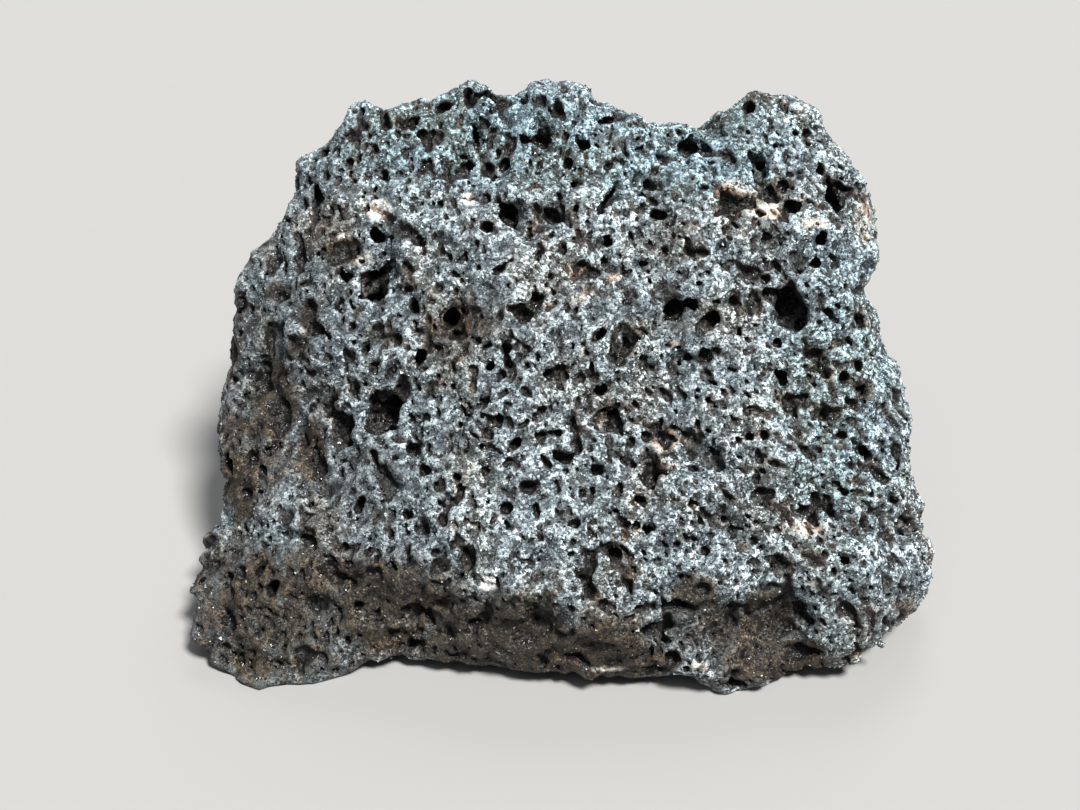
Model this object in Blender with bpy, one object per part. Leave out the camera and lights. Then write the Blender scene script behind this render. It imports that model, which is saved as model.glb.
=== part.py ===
"""Volcanic rock: one loose lump of vesicular basalt, resting on the flat spots of its underside.

The stone is one closed solid. Its form is described from a sighting point in front of it and above it.
A sphere is pulled out to the outline seen from there, flattened to the relief of the front face, rounded
off behind, broken along a few fracture planes and set down on a rough underside. Then the largest gas
bubbles are cut into it and the whole is thinned to a few thousand facets.

Lengths in the tables are millimetres. The finished mesh is in metres, +Z up, with the origin at the
bottom centre of its box.
"""

import math
import random

import bmesh
import bpy
from mathutils import Matrix, Vector, noise
from mathutils.bvhtree import BVHTree

MM = 0.001
NODE_NAME = "volcanic_rock"

# The sighting. The face plane is square to the line of sight and lies on the stone's front.
SIGHT_PITCH = math.radians(36.0)
SIGHT_DISTANCE = 170.0
FACE_CENTRE = Vector((0.0, -5.8, 25.1))
RIGHT = Vector((1.0, 0.0, 0.0))
AHEAD = Vector((0.0, math.cos(SIGHT_PITCH), -math.sin(SIGHT_PITCH)))
UP = Vector((0.0, math.sin(SIGHT_PITCH), math.cos(SIGHT_PITCH)))
EYE = FACE_CENTRE - AHEAD * SIGHT_DISTANCE

# The stone's middle on the face plane, across and up from the line of sight.
HEART = (1.8, 0.3)

# The outline on the face plane, across and up, clockwise from the top hump.
OUTLINE = [
    (-6.4, 32.9), (-3.9, 31.4), (-3.0, 30.8), (-1.2, 32.3), (0.0, 32.6), (1.8, 32.0), (3.1, 32.3),
    (4.6, 31.8), (5.3, 29.6), (7.9, 29.7), (11.2, 28.1), (14.3, 28.1), (17.9, 29.3), (20.4, 30.3),
    (21.4, 31.2), (24.0, 30.7), (26.7, 28.8), (29.3, 25.8), (30.9, 24.3), (32.4, 21.7), (33.2, 16.1),
    (33.0, 13.3), (32.5, 11.0), (33.4, 9.5), (35.5, 4.4), (36.9, -2.7), (36.6, -6.4), (37.8, -9.5),
    (38.4, -12.9), (39.6, -15.5), (39.2, -18.2), (37.7, -20.5), (34.0, -23.4), (31.4, -26.0),
    (27.5, -26.5), (23.5, -27.8), (18.0, -28.9), (14.6, -27.0), (10.5, -26.4), (5.2, -26.8),
    (2.0, -27.6), (-5.9, -26.8), (-14.6, -25.9), (-17.1, -25.6), (-20.8, -27.6), (-24.1, -28.6),
    (-27.1, -29.3), (-30.3, -28.3), (-33.5, -25.9), (-34.5, -23.4), (-36.1, -21.4), (-35.6, -18.9),
    (-35.0, -16.4), (-34.3, -13.4), (-31.7, -11.2), (-31.4, -9.4), (-32.0, -7.0), (-31.8, -0.5),
    (-30.8, 5.2), (-31.2, 6.9), (-30.3, 10.6), (-28.8, 14.6), (-26.3, 17.5), (-25.9, 19.3),
    (-24.6, 22.8), (-24.1, 24.5), (-21.8, 25.8), (-20.8, 27.5), (-18.7, 29.3), (-14.1, 29.4),
    (-13.1, 30.4), (-10.0, 31.5),
]

# Round the outline, by angle in degrees from the right: how far the rim lies behind the face plane,
# and how gently the face rolls over to it (0.4 is an edge, 1 is a round shoulder).
RIM = [
    (0, 9.0, 0.5), (45, 6.5, 0.55), (90, 4.0, 0.65), (118, 6.0, 0.7), (145, 11.0, 0.75),
    (180, 13.0, 0.85), (199, 9.5, 0.8), (212, 4.0, 0.6), (226, 0.8, 0.5), (235, 3.6, 0.45),
    (250, 4.4, 0.45), (275, 3.6, 0.45), (299, 2.4, 0.45), (312, 4.0, 0.5), (324, 4.8, 0.6),
    (337, 8.5, 0.65), (348, 9.5, 0.55),
]
BACK_DEPTH = 36.0
BACK_ROUNDNESS = 0.66
OVERSIZE = 1.02

# The broad planes of the front face: rise at the line of sight, lean per millimetre across and up.
FACE_PLANES = [
    (2.4, -0.010, -0.050),    # the bright right half
    (3.0, 0.210, -0.050),     # the left half, turned away beyond a blunt arris
    (6.0, 0.000, -0.265),     # the top, leaning back
    (9.6, -0.260, -0.050),    # the right end
]
ARRIS_SOFTNESS = 0.45

# The lower edge of the bright front face, across and up, and how the wall under it falls away:
# how proud the edge stands, and how many millimetres the wall recedes for each one it drops.
FACE_EDGE = [
    (-36.0, -11.0, 0.2, 0.10), (-31.5, -12.0, 0.3, 0.12), (-21.0, -14.0, 0.8, 0.35),
    (-13.0, -15.5, 1.4, 0.70), (-6.0, -18.5, 1.7, 0.85), (2.0, -20.5, 1.8, 0.90),
    (8.0, -22.6, 1.6, 0.85), (10.5, -20.8, 1.3, 0.60), (14.0, -18.7, 0.9, 0.45),
    (21.0, -18.0, 0.6, 0.40), (28.0, -19.5, 0.5, 0.45), (33.0, -21.0, 0.3, 0.40),
    (40.0, -21.5, 0.2, 0.40),
]
EDGE_REACH = 7.0
EDGE_SOFTNESS = 0.9

# A soft floor is a plain one past this many softnesses, and a swell ends after this many half widths.
SOFTNESS_LIMIT = 30.0
SWELL_END = 3.0

# Swells and hollows of the front face: across, up, half width, half height, rise.
SWELLS = [
    (-29.0, 2.6, 3.4, 3.0, -3.6),     # the recess in the left side
    (-25.2, -2.2, 3.0, 3.0, -2.8),
    (-22.0, -6.0, 1.7, 3.0, -1.6),    # the groove that leaves it
    (-27.0, -9.0, 4.0, 2.4, 1.3),
    (18.0, -22.2, 5.0, 2.4, -2.2),    # the recess over the right foot
    (25.0, -21.8, 3.6, 3.0, -3.0),
    (11.8, -22.4, 2.2, 1.8, -1.8),
    (18.5, -27.4, 4.6, 1.8, 1.6),     # the right foot
    (34.0, -17.0, 4.5, 4.5, 1.6),     # the boss at the lower right
    (-28.0, -21.0, 7.0, 6.0, 1.8),    # the left foot
    (-14.0, -22.0, 5.0, 3.0, -0.8),
    (-6.0, 30.5, 3.4, 2.2, 1.5),      # the knobs along the top
    (1.6, 30.6, 3.0, 1.8, 1.6),
    (21.8, 28.8, 3.6, 2.4, 1.8),
    (-16.5, 27.0, 4.0, 2.6, 1.0),
    (13.0, 26.0, 5.5, 2.4, -1.3),
    (21.6, 22.0, 2.4, 1.5, -1.2),
    (17.5, 19.6, 2.6, 1.6, 1.0),      # the pale ledge at the upper right
    (24.5, 18.4, 3.2, 1.3, 1.0),
    (29.5, 19.5, 2.4, 3.6, -1.3),
    (29.0, 9.0, 3.0, 4.5, 0.9),
    (33.0, 2.0, 3.0, 5.0, 0.8),
    (-15.6, 12.0, 2.4, 3.4, -1.2),    # the hollow round the largest cavity
    (-15.4, -1.4, 2.8, 3.2, -1.1),
    (-24.0, 14.0, 3.5, 5.0, 0.8),
    (-9.0, 18.0, 5.0, 4.0, 0.7),
    (4.0, -8.0, 7.0, 4.0, -0.8),
    (16.0, -9.0, 6.0, 3.5, 0.8),
    (28.0, -9.0, 4.0, 3.0, -0.8),
    (9.0, 8.0, 3.2, 2.6, -0.9),
    (20.5, 10.0, 3.8, 2.8, -0.7),
]

# Fracture planes that flatten the hidden sides: the way each faces and its distance from the middle.
BODY_MIDDLE = Vector((1.8, 2.0, 24.0))
FRACTURES = [
    ((0.10, 0.55, 0.83), 28.0),
    ((0.50, 0.66, 0.56), 29.0),
    ((-0.52, 0.70, 0.49), 27.5),
    ((-0.12, 0.98, 0.12), 25.0),
    ((0.10, 0.80, -0.60), 26.0),
    ((0.90, 0.42, 0.10), 31.5),
    ((0.62, 0.62, -0.48), 29.0),
    ((-0.88, 0.40, 0.26), 28.0),
    ((-0.66, 0.56, -0.50), 28.5),
]
FRACTURE_HOLD = 0.88
FRACTURE_START = 0.3

# How far round the back the outline's small knobs run, as a share of the depth, the angle over which
# they are smoothed away, and how much slimmer the stone is behind them.
KNOB_REACH = 0.22
KNOB_SPREAD = 12.0
BACK_SLIMNESS = 0.95

# The underside: its rough height over the ground, and the places that reach down to it.
UNDERSIDE_HEIGHT = 1.7
UNDERSIDE_ROUGHNESS = 1.1
UNDERSIDE_LUMP = 5.0
UNDERSIDE_LAYER = 7.0
UNDERSIDE_SOFTNESS = 0.8
FEET = [
    (-27.0, -19.0, 8.5, 6.5),         # under the left foot
    (18.5, -18.5, 7.5, 5.5),          # under the right foot
    (1.0, 6.0, 15.0, 9.0),            # the broad rest at the back
]
FOOT_DROP = 3.2

# Lumps: the size of each octave and how far it moves the surface. The hidden sides have more of them,
# the skyline fewer, and they start a little way over the ground.
LUMPS = [(13.0, 0.9), (6.5, 0.6), (3.2, 0.42)]
HIDDEN_LUMPS = [(18.0, 1.9), (9.0, 0.8)]
HIDDEN_START = 0.35
HIDDEN_SPREAD = 0.5
SKYLINE_HOLD = 0.35
SKYLINE_SPREAD = 0.5
LUMPS_FLOOR = 0.5
LUMPS_FADE = 2.0

# The largest bubbles of the front: across, up, width, height, anticlockwise turn in degrees.
BUBBLES = [
    (-16.5, 11.5, 2.5, 4.2, -8.0),
    (-8.6, 8.6, 2.8, 3.2, 0.0),
    (-15.4, -1.2, 3.4, 4.2, -18.0),
    (29.2, 20.2, 2.5, 4.2, 0.0),
    (25.0, 9.7, 2.4, 4.2, 38.0),
    (-2.6, 19.1, 3.2, 3.0, 0.0),
    (-5.2, 17.7, 1.5, 1.4, 0.0),
    (21.8, 23.4, 2.4, 3.6, 30.0),
    (18.9, 19.7, 1.8, 2.4, 0.0),
    (25.3, 19.7, 1.6, 1.8, 0.0),
    (27.9, 16.9, 1.8, 1.6, 0.0),
    (27.3, 14.1, 1.5, 1.9, 0.0),
    (21.3, 16.1, 1.4, 1.5, 0.0),
    (18.4, 14.1, 1.8, 1.5, 0.0),
    (14.5, 25.8, 1.9, 1.4, 0.0),
    (21.0, 29.7, 1.8, 1.4, 0.0),
    (8.5, 6.7, 2.1, 2.4, 0.0),
    (13.3, 9.3, 1.9, 2.0, 0.0),
    (16.6, 8.0, 2.3, 2.3, 0.0),
    (19.4, 10.3, 1.3, 1.6, 0.0),
    (7.1, -1.5, 2.6, 2.2, -30.0),
    (6.2, 1.6, 1.9, 1.5, 0.0),
    (5.6, -6.5, 1.5, 1.5, 0.0),
    (2.2, -5.1, 2.4, 1.3, -12.0),
    (5.7, 7.1, 1.7, 2.0, 20.0),
    (7.0, 20.8, 1.4, 3.6, -29.0),
    (-3.2, 14.3, 1.2, 3.8, -48.0),
    (0.3, 26.5, 1.8, 2.4, 0.0),
    (-9.5, 29.7, 2.0, 1.6, 0.0),
    (-6.4, 27.3, 1.4, 2.8, 12.0),
    (-3.5, 23.9, 1.6, 1.6, 0.0),
    (-7.0, 23.8, 1.5, 1.3, 0.0),
    (1.2, 18.8, 1.5, 1.5, 0.0),
    (-0.4, 10.4, 1.4, 1.6, 0.0),
    (-12.0, 16.4, 1.5, 1.9, 20.0),
    (-16.4, 16.8, 1.5, 2.3, 10.0),
    (-19.2, 12.9, 1.5, 1.5, 0.0),
    (-26.5, 14.7, 1.4, 1.7, 0.0),
    (-21.8, 20.6, 2.1, 1.8, 0.0),
    (-15.5, 28.3, 1.3, 2.2, 30.0),
    (-12.0, 4.9, 1.5, 2.2, 0.0),
    (-4.8, 4.0, 1.5, 1.5, 0.0),
    (0.6, 3.3, 1.4, 1.4, 0.0),
    (-26.9, 7.1, 1.3, 2.6, -12.0),
    (24.0, 2.9, 1.5, 2.2, -20.0),
    (30.4, 2.9, 1.4, 1.6, 0.0),
    (-12.9, -4.7, 1.6, 1.6, 0.0),
    (-18.0, -9.9, 1.4, 2.2, -25.0),
    (-15.1, -7.9, 1.7, 2.6, 40.0),
    (-5.5, -6.5, 1.4, 1.4, 0.0),
    (-1.2, -8.4, 1.5, 1.5, 0.0),
    (0.1, -3.2, 2.0, 2.0, 0.0),
    (-7.2, -15.4, 1.5, 2.4, 0.0),
    (-26.4, -18.0, 1.5, 2.2, -38.0),
    (3.4, -11.9, 1.5, 1.3, 0.0),
    (10.8, -12.4, 1.7, 1.3, 0.0),
    (16.5, -14.6, 1.4, 1.4, 0.0),
    (30.3, -15.3, 2.3, 1.9, 0.0),
    (36.4, -13.0, 1.6, 2.8, 10.0),
    (11.8, -22.2, 2.4, 1.9, -20.0),
    (21.7, -9.5, 2.2, 1.6, 0.0),
    (28.8, 9.1, 1.5, 1.5, 0.0),
    (32.2, -4.7, 1.4, 1.7, 0.0),
]
BUBBLE_FLARE = 1.12
BUBBLE_DEPTH = 0.62
BUBBLE_SINK = 0.34

# The bubbles that are strewn at random: how many, their least and greatest radius, how finely each is
# rounded, and how squarely it may face the eye, where the listed ones are.
STREWN = [
    (70, 0.85, 1.75, 2, 0.12),
    (120, 0.58, 0.95, 1, 1.0),
]
STREWN_SEED = 41
STREWN_GAP = 1.3
STREWN_FLOOR = 4.0
STREWN_STRETCH = 1.45
STREWN_DEPTH = 1.1
STREWN_LEAN = 0.3
LISTED_ROUNDNESS = 2

# How finely the stone is worked before it is thinned, and what it is thinned to.
SPHERE_DIVISIONS = 7
FORM_GRAIN = 0.85
BUBBLE_GRAINS = [0.30, 0.29, 0.31, 0.28, 0.32, 0.33, 0.27, 0.34]
FACETS = 9700
GROUND_WELD = 1e-4

BASALT = {"color": (0.052, 0.056, 0.058, 1.0), "roughness": 0.88, "metallic": 0.0}


def clear_scene():
    """Removes whatever the scene held before."""
    for thing in list(bpy.data.objects):
        bpy.data.objects.remove(thing, do_unlink=True)


def sight(across, up, behind=0.0):
    """The point behind a place on the face plane, seen from the eye, that much further off."""
    ray = AHEAD + RIGHT * (across / SIGHT_DISTANCE) + UP * (up / SIGHT_DISTANCE)
    return EYE + ray * (SIGHT_DISTANCE + behind)


def smooth_step(value):
    """Eases from 0 to 1 as the value goes from 0 to 1."""
    value = min(max(value, 0.0), 1.0)
    return value * value * (3.0 - 2.0 * value)


def soft_floor(value, floor, softness):
    """The larger of two heights, rounded where they meet."""
    gap = (value - floor) / softness
    if gap > SOFTNESS_LIMIT:
        return value
    return floor + softness * math.log1p(math.exp(gap))


def between(rows, key):
    """Reads a table of rows at a key, easing from one row to the next."""
    if key <= rows[0][0]:
        return rows[0][1:]
    for low, high in zip(rows, rows[1:]):
        if key <= high[0]:
            share = smooth_step((key - low[0]) / (high[0] - low[0]))
            return [a + (b - a) * share for a, b in zip(low[1:], high[1:])]
    return rows[-1][1:]


def polar_outline():
    """The outline as angle and radius from the stone's middle, in order of angle."""
    rows = []
    for across, up in OUTLINE:
        x, y = across - HEART[0], up - HEART[1]
        rows.append((math.degrees(math.atan2(y, x)) % 360.0, math.hypot(x, y)))
    rows.sort()
    first, last = rows[0], rows[-1]
    return [(last[0] - 360.0, last[1])] + rows + [(first[0] + 360.0, first[1])]


def outline_radius(rows, angle):
    """The outline's radius at an angle, on straight lines between its points."""
    for low, high in zip(rows, rows[1:]):
        if angle <= high[0]:
            share = (angle - low[0]) / (high[0] - low[0])
            return low[1] + (high[1] - low[1]) * share
    return rows[-1][1]


def face_planes(across, up):
    """The lowest of the front's broad planes at a place, rounded where they meet."""
    rises = [rise + lean * across + tilt * up for rise, lean, tilt in FACE_PLANES]
    lowest = min(rises)
    total = sum(math.exp((lowest - rise) / ARRIS_SOFTNESS) for rise in rises)
    return lowest - ARRIS_SOFTNESS * math.log(total)


def relief(across, up):
    """How far the front stands out towards the eye at a place on the face plane."""
    edge, proud, fall = between(FACE_EDGE, across)
    above = up - edge
    below = soft_floor(-above, 0.0, EDGE_SOFTNESS)
    rise = face_planes(across, max(up, edge))
    rise += proud * math.exp(-max(above, 0.0) / EDGE_REACH) - fall * below
    for x, y, half_width, half_height, height in SWELLS:
        reach = ((across - x) / half_width) ** 2 + ((up - y) / half_height) ** 2
        if reach < SWELL_END ** 2:
            rise += height * math.exp(-reach)
    return rise


def rim_at(angle):
    """How far the rim lies behind the face plane at an angle, and how gently the face rolls to it."""
    return between(RIM + [(360, *RIM[0][1:])], angle)


def shape_front(radius, angle, polar):
    """A point of the front half, from its share of the way out to the rim."""
    behind, roll = rim_at(angle)
    out = math.sin(polar) ** roll
    fall = 1.0 - math.cos(polar) ** roll
    across = HEART[0] + radius * out * math.cos(math.radians(angle))
    up = HEART[1] + radius * out * math.sin(math.radians(angle))
    return sight(across, up, behind * fall - relief(across, up) * (1.0 - fall))


def shape_back(radius, plain_radius, angle, polar):
    """A point of the back half, which loses the outline's small knobs as it goes round."""
    behind, _ = rim_at(angle)
    turned = math.pi - polar
    out = math.sin(turned) ** BACK_ROUNDNESS
    back = math.cos(turned) ** BACK_ROUNDNESS
    reach = radius + (plain_radius - radius) * smooth_step(back / KNOB_REACH)
    across = HEART[0] + reach * out * math.cos(math.radians(angle))
    up = HEART[1] + reach * out * math.sin(math.radians(angle))
    point = sight(across, up, behind + (BACK_DEPTH - behind) * back)
    return break_off(point, smooth_step(back / FRACTURE_START))


def break_off(point, hold):
    """Flattens a point of the hidden sides against the fracture planes."""
    for way, distance in FRACTURES:
        normal = Vector(way).normalized()
        excess = (point - BODY_MIDDLE).dot(normal) - distance
        if excess > 0.0:
            point = point - normal * (excess * FRACTURE_HOLD * hold)
    return point


def hold_outline(rows, point):
    """Draws a point that stands past the outline back in to it, square to the line of sight."""
    seen = point - EYE
    scale = SIGHT_DISTANCE / seen.dot(AHEAD)
    x, y = seen.dot(RIGHT) * scale - HEART[0], seen.dot(UP) * scale - HEART[1]
    limit = outline_radius(rows, math.degrees(math.atan2(y, x)) % 360.0)
    reach = math.hypot(x, y)
    if reach <= limit:
        return point
    return point - (RIGHT * x + UP * y) * ((1.0 - limit / reach) / scale)


def underside(x, y):
    """The height of the stone's underside over the ground at a place."""
    rough = noise.noise(Vector((x, y, UNDERSIDE_LAYER)) / UNDERSIDE_LUMP) * UNDERSIDE_ROUGHNESS
    height = UNDERSIDE_HEIGHT + rough
    for foot_x, foot_y, half_x, half_y in FEET:
        reach = ((x - foot_x) / half_x) ** 2 + ((y - foot_y) / half_y) ** 2
        height -= FOOT_DROP * math.exp(-reach * reach)
    return height


def shape_sphere():
    """The whole form of the stone, pulled out of a fine sphere."""
    rows = polar_outline()
    shape = bmesh.new()
    bmesh.ops.create_icosphere(shape, subdivisions=SPHERE_DIVISIONS, radius=1.0)
    for vert in shape.verts:
        x, y, towards = vert.co
        angle = math.degrees(math.atan2(y, x)) % 360.0
        polar = math.acos(min(max(towards, -1.0), 1.0))
        radius = outline_radius(rows, angle) * OVERSIZE
        if towards >= 0.0:
            point = shape_front(radius, angle, polar)
        else:
            turns = (-KNOB_SPREAD, 0.0, KNOB_SPREAD)
            around = [outline_radius(rows, (angle + turn) % 360.0) for turn in turns]
            point = shape_back(radius, BACK_SLIMNESS * sum(around) / len(around), angle, polar)
        point.z = soft_floor(point.z, underside(point.x, point.y), UNDERSIDE_SOFTNESS)
        vert.co = point
    mesh = bpy.data.meshes.new(NODE_NAME)
    shape.to_mesh(mesh)
    shape.free()
    return mesh


def hidden_share(point, normal):
    """0 on the side that faces the eye, 1 on the sides turned away from it."""
    facing = normal.dot((EYE - point).normalized())
    return 1.0 - smooth_step((facing + HIDDEN_START) / HIDDEN_SPREAD)


def raise_lumps(mesh):
    """Moves the surface along its normals by a few octaves of lumps, inside the outline."""
    rows = polar_outline()
    shape = bmesh.new()
    shape.from_mesh(mesh)
    shape.normal_update()
    moved = []
    for vert in shape.verts:
        hidden = hidden_share(vert.co, vert.normal)
        skyline = abs(vert.normal.dot((EYE - vert.co).normalized()))
        hold = SKYLINE_HOLD + (1.0 - SKYLINE_HOLD) * max(smooth_step(skyline / SKYLINE_SPREAD), hidden)
        step = sum(noise.noise(vert.co / size) * height for size, height in LUMPS)
        step += hidden * sum(noise.noise(vert.co / size) * h for size, h in HIDDEN_LUMPS)
        hold *= smooth_step((vert.co.z - LUMPS_FLOOR) / LUMPS_FADE)
        moved.append(vert.co + vert.normal * (step * hold))
    for vert, point in zip(shape.verts, moved):
        vert.co = hold_outline(rows, point)
    shape.to_mesh(mesh)
    shape.free()


def new_object(name, mesh):
    """An object of that mesh, in the scene."""
    thing = bpy.data.objects.new(name, mesh)
    bpy.context.scene.collection.objects.link(thing)
    return thing


def bake(thing):
    """Puts the evaluated mesh in place of the object's modifiers."""
    graph = bpy.context.evaluated_depsgraph_get()
    mesh = bpy.data.meshes.new_from_object(thing.evaluated_get(graph))
    thing.modifiers.clear()
    thing.data = mesh


def even_out(thing, grain):
    """Gives an object one clean, even mesh of that grain."""
    remesh = thing.modifiers.new("even", "REMESH")
    remesh.mode = "VOXEL"
    remesh.voxel_size = grain
    bake(thing)


def listed_bubbles(tree):
    """Where each listed bubble is cut: its middle, its half sizes, its axes and its roundness."""
    cuts = []
    for across, up, width, height, turn in BUBBLES:
        ray = (sight(across, up) - EYE).normalized()
        hit, _, _, _ = tree.ray_cast(EYE, ray)
        half = Vector((width, height, 0.0)) * (BUBBLE_FLARE / 2.0)
        half.z = BUBBLE_DEPTH * (width + height) / 2.0
        lean = Matrix.Rotation(math.radians(-turn), 3, ray)
        axes = Matrix((lean @ RIGHT, lean @ UP, -ray)).transposed()
        cuts.append((hit + ray * (half.z * BUBBLE_SINK), half, axes, LISTED_ROUNDNESS))
    return cuts


def strewn_bubbles(mesh, cuts, count, least, greatest, roundness, squarely):
    """Adds bubbles at random places that keep clear of those there are."""
    draw = random.Random(STREWN_SEED + count)
    faces = [f for f in mesh.polygons if f.center.z > STREWN_FLOOR]
    areas = [f.area for f in faces]
    wanted = len(cuts) + count
    while len(cuts) < wanted:
        face = draw.choices(faces, areas)[0]
        radius = least + (greatest - least) * draw.random() ** 2
        half = Vector((radius, radius * draw.uniform(1.0, STREWN_STRETCH), radius * STREWN_DEPTH))
        spin = draw.uniform(0.0, math.pi)
        if face.normal.dot((EYE - face.center).normalized()) > squarely:
            continue
        middle = face.center - face.normal * (radius * BUBBLE_SINK)
        if any((middle - place).length < (half.y + max(other)) * STREWN_GAP for place, other, _, _ in cuts):
            continue
        side = Vector((math.cos(spin), math.sin(spin), STREWN_LEAN)).cross(face.normal).normalized()
        axes = Matrix((side, face.normal.cross(side), face.normal)).transposed()
        cuts.append((middle, half, axes, roundness))


def bubble_cutter(cuts):
    """One mesh of all the bubbles that are cut out."""
    shape = bmesh.new()
    for middle, half, axes, roundness in cuts:
        place = Matrix.Translation(middle) @ axes.to_4x4() @ Matrix.Diagonal((*half, 1.0))
        bmesh.ops.create_icosphere(shape, subdivisions=roundness, radius=1.0, matrix=place)
    bmesh.ops.recalc_face_normals(shape, faces=shape.faces[:])
    mesh = bpy.data.meshes.new("bubbles")
    shape.to_mesh(mesh)
    shape.free()
    cutter = new_object("bubbles", mesh)
    cutter.hide_render = True
    cutter.display_type = "WIRE"
    return cutter


def cut_bubbles(stone):
    """Cuts the bubbles out of the stone."""
    mesh = stone.data
    tree = BVHTree.FromPolygons([v.co for v in mesh.vertices], [p.vertices[:] for p in mesh.polygons])
    cuts = listed_bubbles(tree)
    for batch in STREWN:
        strewn_bubbles(mesh, cuts, *batch)
    cutter = bubble_cutter(cuts)
    carve = stone.modifiers.new("bubbles", "BOOLEAN")
    carve.operation = "DIFFERENCE"
    carve.solver = "EXACT"
    carve.object = cutter
    bake(stone)
    bpy.data.objects.remove(cutter, do_unlink=True)


def is_sound(mesh):
    """Whether a mesh is closed and none of its faces runs through another."""
    shape = bmesh.new()
    shape.from_mesh(mesh)
    shape.faces.ensure_lookup_table()
    closed = all(edge.is_manifold for edge in shape.edges)
    tree = BVHTree.FromBMesh(shape)
    corners = [set(face.verts) for face in shape.faces]
    crossing = any(not corners[a] & corners[b] for a, b in tree.overlap(tree))
    shape.free()
    return closed and not crossing


def cut_feet(mesh):
    """Cuts the feet off flat on the ground."""
    shape = bmesh.new()
    shape.from_mesh(mesh)
    everything = shape.verts[:] + shape.edges[:] + shape.faces[:]
    cut = bmesh.ops.bisect_plane(
        shape, geom=everything, dist=GROUND_WELD, plane_co=(0, 0, 0), plane_no=(0, 0, 1), clear_inner=True
    )
    rim = [item for item in cut["geom_cut"] if isinstance(item, bmesh.types.BMEdge)]
    bmesh.ops.holes_fill(shape, edges=rim, sides=0)
    bmesh.ops.triangulate(shape, faces=shape.faces[:])
    shape.to_mesh(mesh)
    shape.free()


def thin_out(stone):
    """Works the cut stone into an even fine mesh and thins that, at the first grain that stays sound."""
    cut = stone.data
    for grain in BUBBLE_GRAINS:
        stone.data = cut
        even_out(stone, grain)
        count = sum(len(face.vertices) - 2 for face in stone.data.polygons)
        decimate = stone.modifiers.new("thin", "DECIMATE")
        decimate.ratio = FACETS / count
        bake(stone)
        cut_feet(stone.data)
        if is_sound(stone.data):
            return
    raise RuntimeError("no thinned mesh of the stone is sound")


def set_down(mesh):
    """Puts the origin under the middle of the stone, and makes its millimetres metres."""
    xs = [v.co.x for v in mesh.vertices]
    ys = [v.co.y for v in mesh.vertices]
    middle = Vector(((min(xs) + max(xs)) / 2.0, (min(ys) + max(ys)) / 2.0, 0.0))
    mesh.transform(Matrix.Scale(MM, 4) @ Matrix.Translation(-middle))


def dress(stone):
    """Gives the stone its dark basalt."""
    basalt = bpy.data.materials.new("vesicular_basalt")
    basalt.use_nodes = True
    shader = basalt.node_tree.nodes["Principled BSDF"]
    shader.inputs["Base Color"].default_value = BASALT["color"]
    shader.inputs["Roughness"].default_value = BASALT["roughness"]
    shader.inputs["Metallic"].default_value = BASALT["metallic"]
    stone.data.materials.clear()
    stone.data.materials.append(basalt)
    stone.data.shade_flat()


def main():
    """Builds the stone."""
    clear_scene()
    stone = new_object(NODE_NAME, shape_sphere())
    even_out(stone, FORM_GRAIN)
    raise_lumps(stone.data)
    cut_bubbles(stone)
    thin_out(stone)
    set_down(stone.data)
    dress(stone)


main()
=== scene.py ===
"""The looks of the volcanic rock: one lump of dark vesicular basalt on a plain pale floor.

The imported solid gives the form. A merged copy of it becomes a block of voxels that hold the signed distance
to its surface. Noise roughens that distance, gas bubbles are carved out of it, and it is meshed again and
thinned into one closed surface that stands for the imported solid. What the stone is like at each vertex, such
as how deep it lies in a hollow, goes with the mesh as attributes, which the materials read.

Lengths are millimetres in the row's frame unless a name says otherwise. Blender's own are metres.
"""

import logging
import math
from dataclasses import dataclass
from enum import Enum

import bmesh
import bpy
import numpy as np
import openvdb
from mathutils import Matrix, Vector
from mathutils.bvhtree import BVHTree

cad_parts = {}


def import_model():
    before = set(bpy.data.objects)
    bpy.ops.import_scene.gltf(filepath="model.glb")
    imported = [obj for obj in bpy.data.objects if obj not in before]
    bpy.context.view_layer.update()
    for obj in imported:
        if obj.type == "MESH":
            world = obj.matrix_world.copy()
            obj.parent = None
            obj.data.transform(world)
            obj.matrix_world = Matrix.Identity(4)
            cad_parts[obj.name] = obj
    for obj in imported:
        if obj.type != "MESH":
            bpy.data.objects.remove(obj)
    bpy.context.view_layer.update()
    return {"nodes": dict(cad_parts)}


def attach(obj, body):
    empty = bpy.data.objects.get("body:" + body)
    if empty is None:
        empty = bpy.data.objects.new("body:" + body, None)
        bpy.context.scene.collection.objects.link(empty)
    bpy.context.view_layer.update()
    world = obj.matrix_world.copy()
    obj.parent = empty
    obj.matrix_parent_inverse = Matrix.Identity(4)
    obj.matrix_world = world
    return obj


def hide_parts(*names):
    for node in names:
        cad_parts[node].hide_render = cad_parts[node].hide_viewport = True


LOG = logging.getLogger("volcanic_rock")
MM = 0.001
NODE = "volcanic_rock"

# A colour is red, green, blue and alpha. A pair is a range, or an octave of noise as its size and height.
Colour = tuple[float, float, float, float]
Pair = tuple[float, float]

# The most that a bubble's wall strays, in spreads of the noise that roughens it.
ROUGH_LIMIT = 2.0

# The shares of chance that strew spots evenly over a triangle.
ANY_SPOT = (1.0, 1.0, 1.0)


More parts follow.
